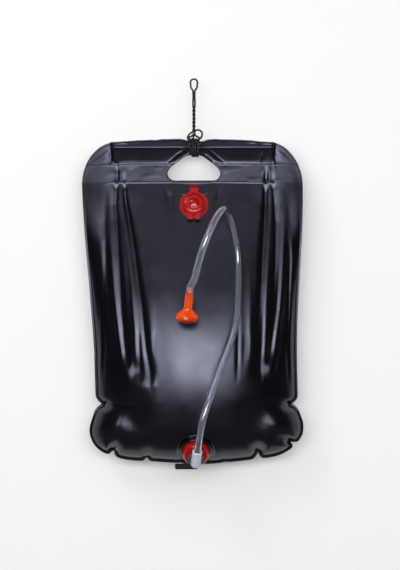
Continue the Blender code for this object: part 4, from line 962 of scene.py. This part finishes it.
# Heights of the film's fine relief, in metres
GATHERS = 0.0014
SLACK = 0.0007
DRIFT = 0.00045
MOTTLE = 0.00030
CRUMPLE_LEFT, CRUMPLE_RIGHT = 0.00010, 0.00030
SEAM_WAVES = 0.0006
FLANGE = 0.00035
BACK_PLEATS = 0.6


def fine_relief(px, py, front):
    """What stands out of the blown and pleated film, from the hem's gathers to the edge of the seam."""
    gather = np.exp(-(((px - 196) / 11) ** 4)) * np.clip(1 - np.abs(DROP - 0.014) / 0.02, 0, 1)
    gathers = GATHERS * gather * np.sin(px * 2.0 + 0.4 * np.sin(py * 0.5))
    slack = SLACK * np.exp(-((DROP - 0.006) / 0.004) ** 2) * waves(px * 0.42, py * 0.7, 5)
    drift = DRIFT * waves(px * 0.16, py * 0.045, 11) * smoothstep(DROP, 0.08, 0.15)
    mottle = MOTTLE * waves(px * 0.33, py * 0.42, 23) * smoothstep(DROP, 0.044, 0.050)
    mottle *= 1 - smoothstep(DROP, 0.076, 0.082)
    shoulder = smoothstep(DROP, 0.083, 0.092) * (1 - smoothstep(DROP, 0.115, 0.150))
    sides = CRUMPLE_RIGHT * smoothstep(px, 276, 284) + CRUMPLE_LEFT * (1 - smoothstep(px, 98, 108))
    crumple = shoulder * sides * waves(px * 0.85, py * 0.40, 31)
    crumple *= smoothstep(EDGE, 0.003, 0.010)
    seam_waves = SEAM_WAVES * np.exp(-EDGE / 0.012) * waves(px * 0.5, py * 0.5, 3) * smoothstep(EDGE, RIM, 0.010)
    beads = np.zeros_like(px)
    for height, line in WELDS if front else WELDS[:2]:
        beads += height * ridge(px, py, line, 2.0, 0.62)
    flange = FLANGE * np.exp(-(((EDGE - RIM * 0.86) / 0.0009) ** 2))
    return gathers, slack, drift, mottle, crumple, seam_waves, beads, flange


def film_side(side, name):
    """One film. side is -1 for the front and 1 for the back."""
    front = side < 0
    depth = pillow()
    smooth = np.ones_like(X)
    if front:
        for fitting in FITTINGS:
            depth = flattened(depth, fitting)
            away = np.hypot(X - fitting.x, (DROP - fitting.drop) / 0.92)
            smooth *= smoothstep(away, fitting.smooth, fitting.smooth * 1.25)
    px, py = project(X, side * (SEAM_GAP + FILM + depth), Z)
    depth = pleated(depth, px, py, 1 if front else BACK_PLEATS)
    folds = folded(px, py)
    if not front:
        folds *= 0.75 + 0.25 * np.sin(px * 0.11)
    folds *= smoothstep(EDGE, 0.003, 0.014) * smooth
    hemmed = hem() * (1 - 0.35 * np.exp(-(((px - 194) / 7.5) ** 4)))
    outward = sum(fine_relief(px, py, front), depth + hemmed) - GROOVE
    in_header = 1 - smoothstep(DROP, 0.074, 0.084)
    outward = np.maximum(outward + folds * (1 - in_header), 0)
    y = side * (SEAM_GAP + FILM + outward) - lean() - folds * in_header
    verts = np.stack([X, y, Z], axis=2)
    return cut_and_link(verts.reshape(-1, 3), side, name)


def snap(verts, faces, outline):
    """Opens the film along an outline: faces inside go, and the edge left is drawn onto the outline."""
    flat = np.stack([verts[:, 0], -verts[:, 2] - CORD_DROP], 1)
    quads = flat[faces].mean(axis=1)
    inside = inside_outline(quads[:, 0], quads[:, 1], outline)
    kept, gone = faces[~inside], faces[inside]
    rim = np.intersect1d(np.unique(kept), np.unique(gone))
    line = list(outline) + [outline[0]]
    moved = flat.copy()
    best = np.full(len(rim), 1e9)
    for (ax, ay), (bx, by) in zip(line, line[1:]):
        dx, dy = bx - ax, by - ay
        t = np.clip(((flat[rim, 0] - ax) * dx + (flat[rim, 1] - ay) * dy) / (dx**2 + dy**2), 0, 1)
        qx, qy = ax + t * dx, ay + t * dy
        d = np.hypot(flat[rim, 0] - qx, flat[rim, 1] - qy)
        nearer = d < best
        best = np.where(nearer, d, best)
        moved[rim[nearer], 0] = qx[nearer]
        moved[rim[nearer], 1] = qy[nearer]
    shift = moved - flat
    verts = verts.copy()
    verts[:, 0] += shift[:, 0]
    verts[:, 2] -= shift[:, 1]
    return verts, kept


def fitting_hole(fitting):
    """The round hole of a tilted fitting, as it lies in the seam's plane."""
    squeeze = math.cos(math.radians(fitting.tilt))
    turns = [2 * math.pi * k / 48 for k in range(48)]
    return [
        (fitting.x + fitting.hole * math.cos(a), fitting.drop + fitting.hole * squeeze * math.sin(a)) for a in turns
    ]


def cut_and_link(verts, side, name):
    rows, columns = X.shape
    index = np.arange(rows * columns).reshape(rows, columns)
    faces = np.stack([index[:-1, :-1], index[:-1, 1:], index[1:, 1:], index[1:, :-1]], axis=2).reshape(-1, 4)
    verts, faces = snap(verts, faces, handle_hole())
    if side < 0:
        for fitting in FITTINGS:
            verts, faces = snap(verts, faces, fitting_hole(fitting))
        faces = faces[:, ::-1]
    used, number = np.unique(faces, return_inverse=True)
    made = link_mesh(name, verts[used], number.reshape(faces.shape), FILM_BLACK)
    shell = made.modifiers.new("film", "SOLIDIFY")
    shell.thickness = FILM
    shell.offset = -1
    return made


front_film = film_side(-1, "front_film")
back_film = film_side(1, "back_film")
for piece, node_name in ((front_film, "front_panel"), (back_film, "back_panel")):
    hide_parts(node_name)
    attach(piece, "bag")


# Stage and lights


WALL_Y = 0.0705
FLOOR_Z = -1.25


def stage_material(name, grey, glow, mirrored):
    """Pale stage that keeps the object's shadow and is clear from behind.

    glow tops it up where the camera or a clear piece shows it, and mirrored where a gloss does.
    """
    m = Nodes(name)
    m.set(Roughness=0.9, Specular_IOR_Level=0.1, Emission_Color=(1, 1, 1, 1))
    m.to("Base Color", m.ramp(m.noise(3, 2), (grey,) * 3, (grey * 1.01,) * 3))
    rays = m.node("LightPath").outputs
    seen = m.level(m.combine("MAXIMUM", rays["Is Camera Ray"], rays["Is Transmission Ray"]), 0, glow, 0, 1)
    m.to("Emission Strength", m.combine("MAXIMUM", seen, m.level(rays["Is Glossy Ray"], 0, mirrored, 0, 1)))
    mix = m.node("MixShader")
    m.link(m.node("NewGeometry").outputs["Backfacing"], mix.inputs["Fac"])
    m.link(m.shader.outputs[0], mix.inputs[1])
    m.link(m.node("BsdfTransparent").outputs[0], mix.inputs[2])
    m.link(mix.outputs[0], m.tree.nodes["Material Output"].inputs["Surface"])
    return m.material


def make_stage():
    """A white wall close behind the bag, and a pale floor in front of and behind it."""
    wall = link_mesh(
        "backdrop", [(-6, WALL_Y, FLOOR_Z), (6, WALL_Y, FLOOR_Z), (6, WALL_Y, 3), (-6, WALL_Y, 3)], [(0, 1, 2, 3)],
        stage_material("wall_white", 0.79, 0.21, 0.21),
    )
    floor = link_mesh(
        "floor", [(-8, -9, FLOOR_Z), (8, -9, FLOOR_Z), (8, 9, FLOOR_Z), (-8, 9, FLOOR_Z)], [(0, 1, 2, 3)],
        stage_material("floor_pale", 0.16, 0.78, 0.02),
    )
    wall.visible_shadow = False


def make_world():
    """Plain white light, dim where a gloss mirrors it, as the black film shows dark surroundings."""
    world = bpy.data.worlds.new("studio")
    bpy.context.scene.world = world
    world.use_nodes = True
    world.cycles.sampling_method = "NONE"
    nodes, links = world.node_tree.nodes, world.node_tree.links
    back = nodes["Background"]
    back.inputs["Color"].default_value = (1, 1, 1, 1)
    path = nodes.new("ShaderNodeLightPath")
    level = None
    for flag, value in (("Is Glossy Ray", 0.045), ("Is Transmission Ray", 0.9), ("Is Camera Ray", 1.0)):
        mix = nodes.new("ShaderNodeMix")
        mix.data_type = "FLOAT"
        links.new(path.outputs[flag], mix.inputs[0])
        mix.inputs[2].default_value = 0.30
        if level:
            links.new(level, mix.inputs[2])
        mix.inputs[3].default_value = value
        level = mix.outputs[0]
    links.new(level, back.inputs["Strength"])


AIM = Vector((0, -0.05, -0.42))
REACH = 3.0


def panel_light(name, azimuths, elevations, radiance):
    """A softbox that fills the given range of directions as seen from the bag, in degrees."""
    turn = math.radians(sum(azimuths) / 2)
    tilt = math.radians(sum(elevations) / 2)
    way = Vector((math.sin(turn) * math.cos(tilt), -math.cos(turn) * math.cos(tilt), math.sin(tilt)))
    data = bpy.data.lights.new(name, "AREA")
    data.shape = "RECTANGLE"
    data.size = REACH * math.radians(azimuths[1] - azimuths[0]) * math.cos(tilt)
    data.size_y = REACH * math.radians(elevations[1] - elevations[0])
    data.energy = radiance * math.pi * data.size * data.size_y
    made = bpy.data.objects.new(name, data)
    bpy.context.scene.collection.objects.link(made)
    made.location = AIM + way * REACH
    made.rotation_mode = "QUATERNION"
    made.rotation_quaternion = (-way).to_track_quat("-Z", "Y")
    made.visible_camera = False


make_stage()
make_world()
panel_light("key", (-15, 12), (0.5, 13), 14.0)
panel_light("key_left", (-28, -15), (0.5, 13), 7.0)
panel_light("key_right", (12, 26), (0.5, 13), 6.0)
panel_light("upper", (-22, 22), (24, 46), 0.8)
panel_light("upper_left", (-48, -26), (30, 50), 5.0)
panel_light("behind", (122, 200), (4, 36), 1.6)

bpy.context.scene.view_settings.view_transform = "Standard"
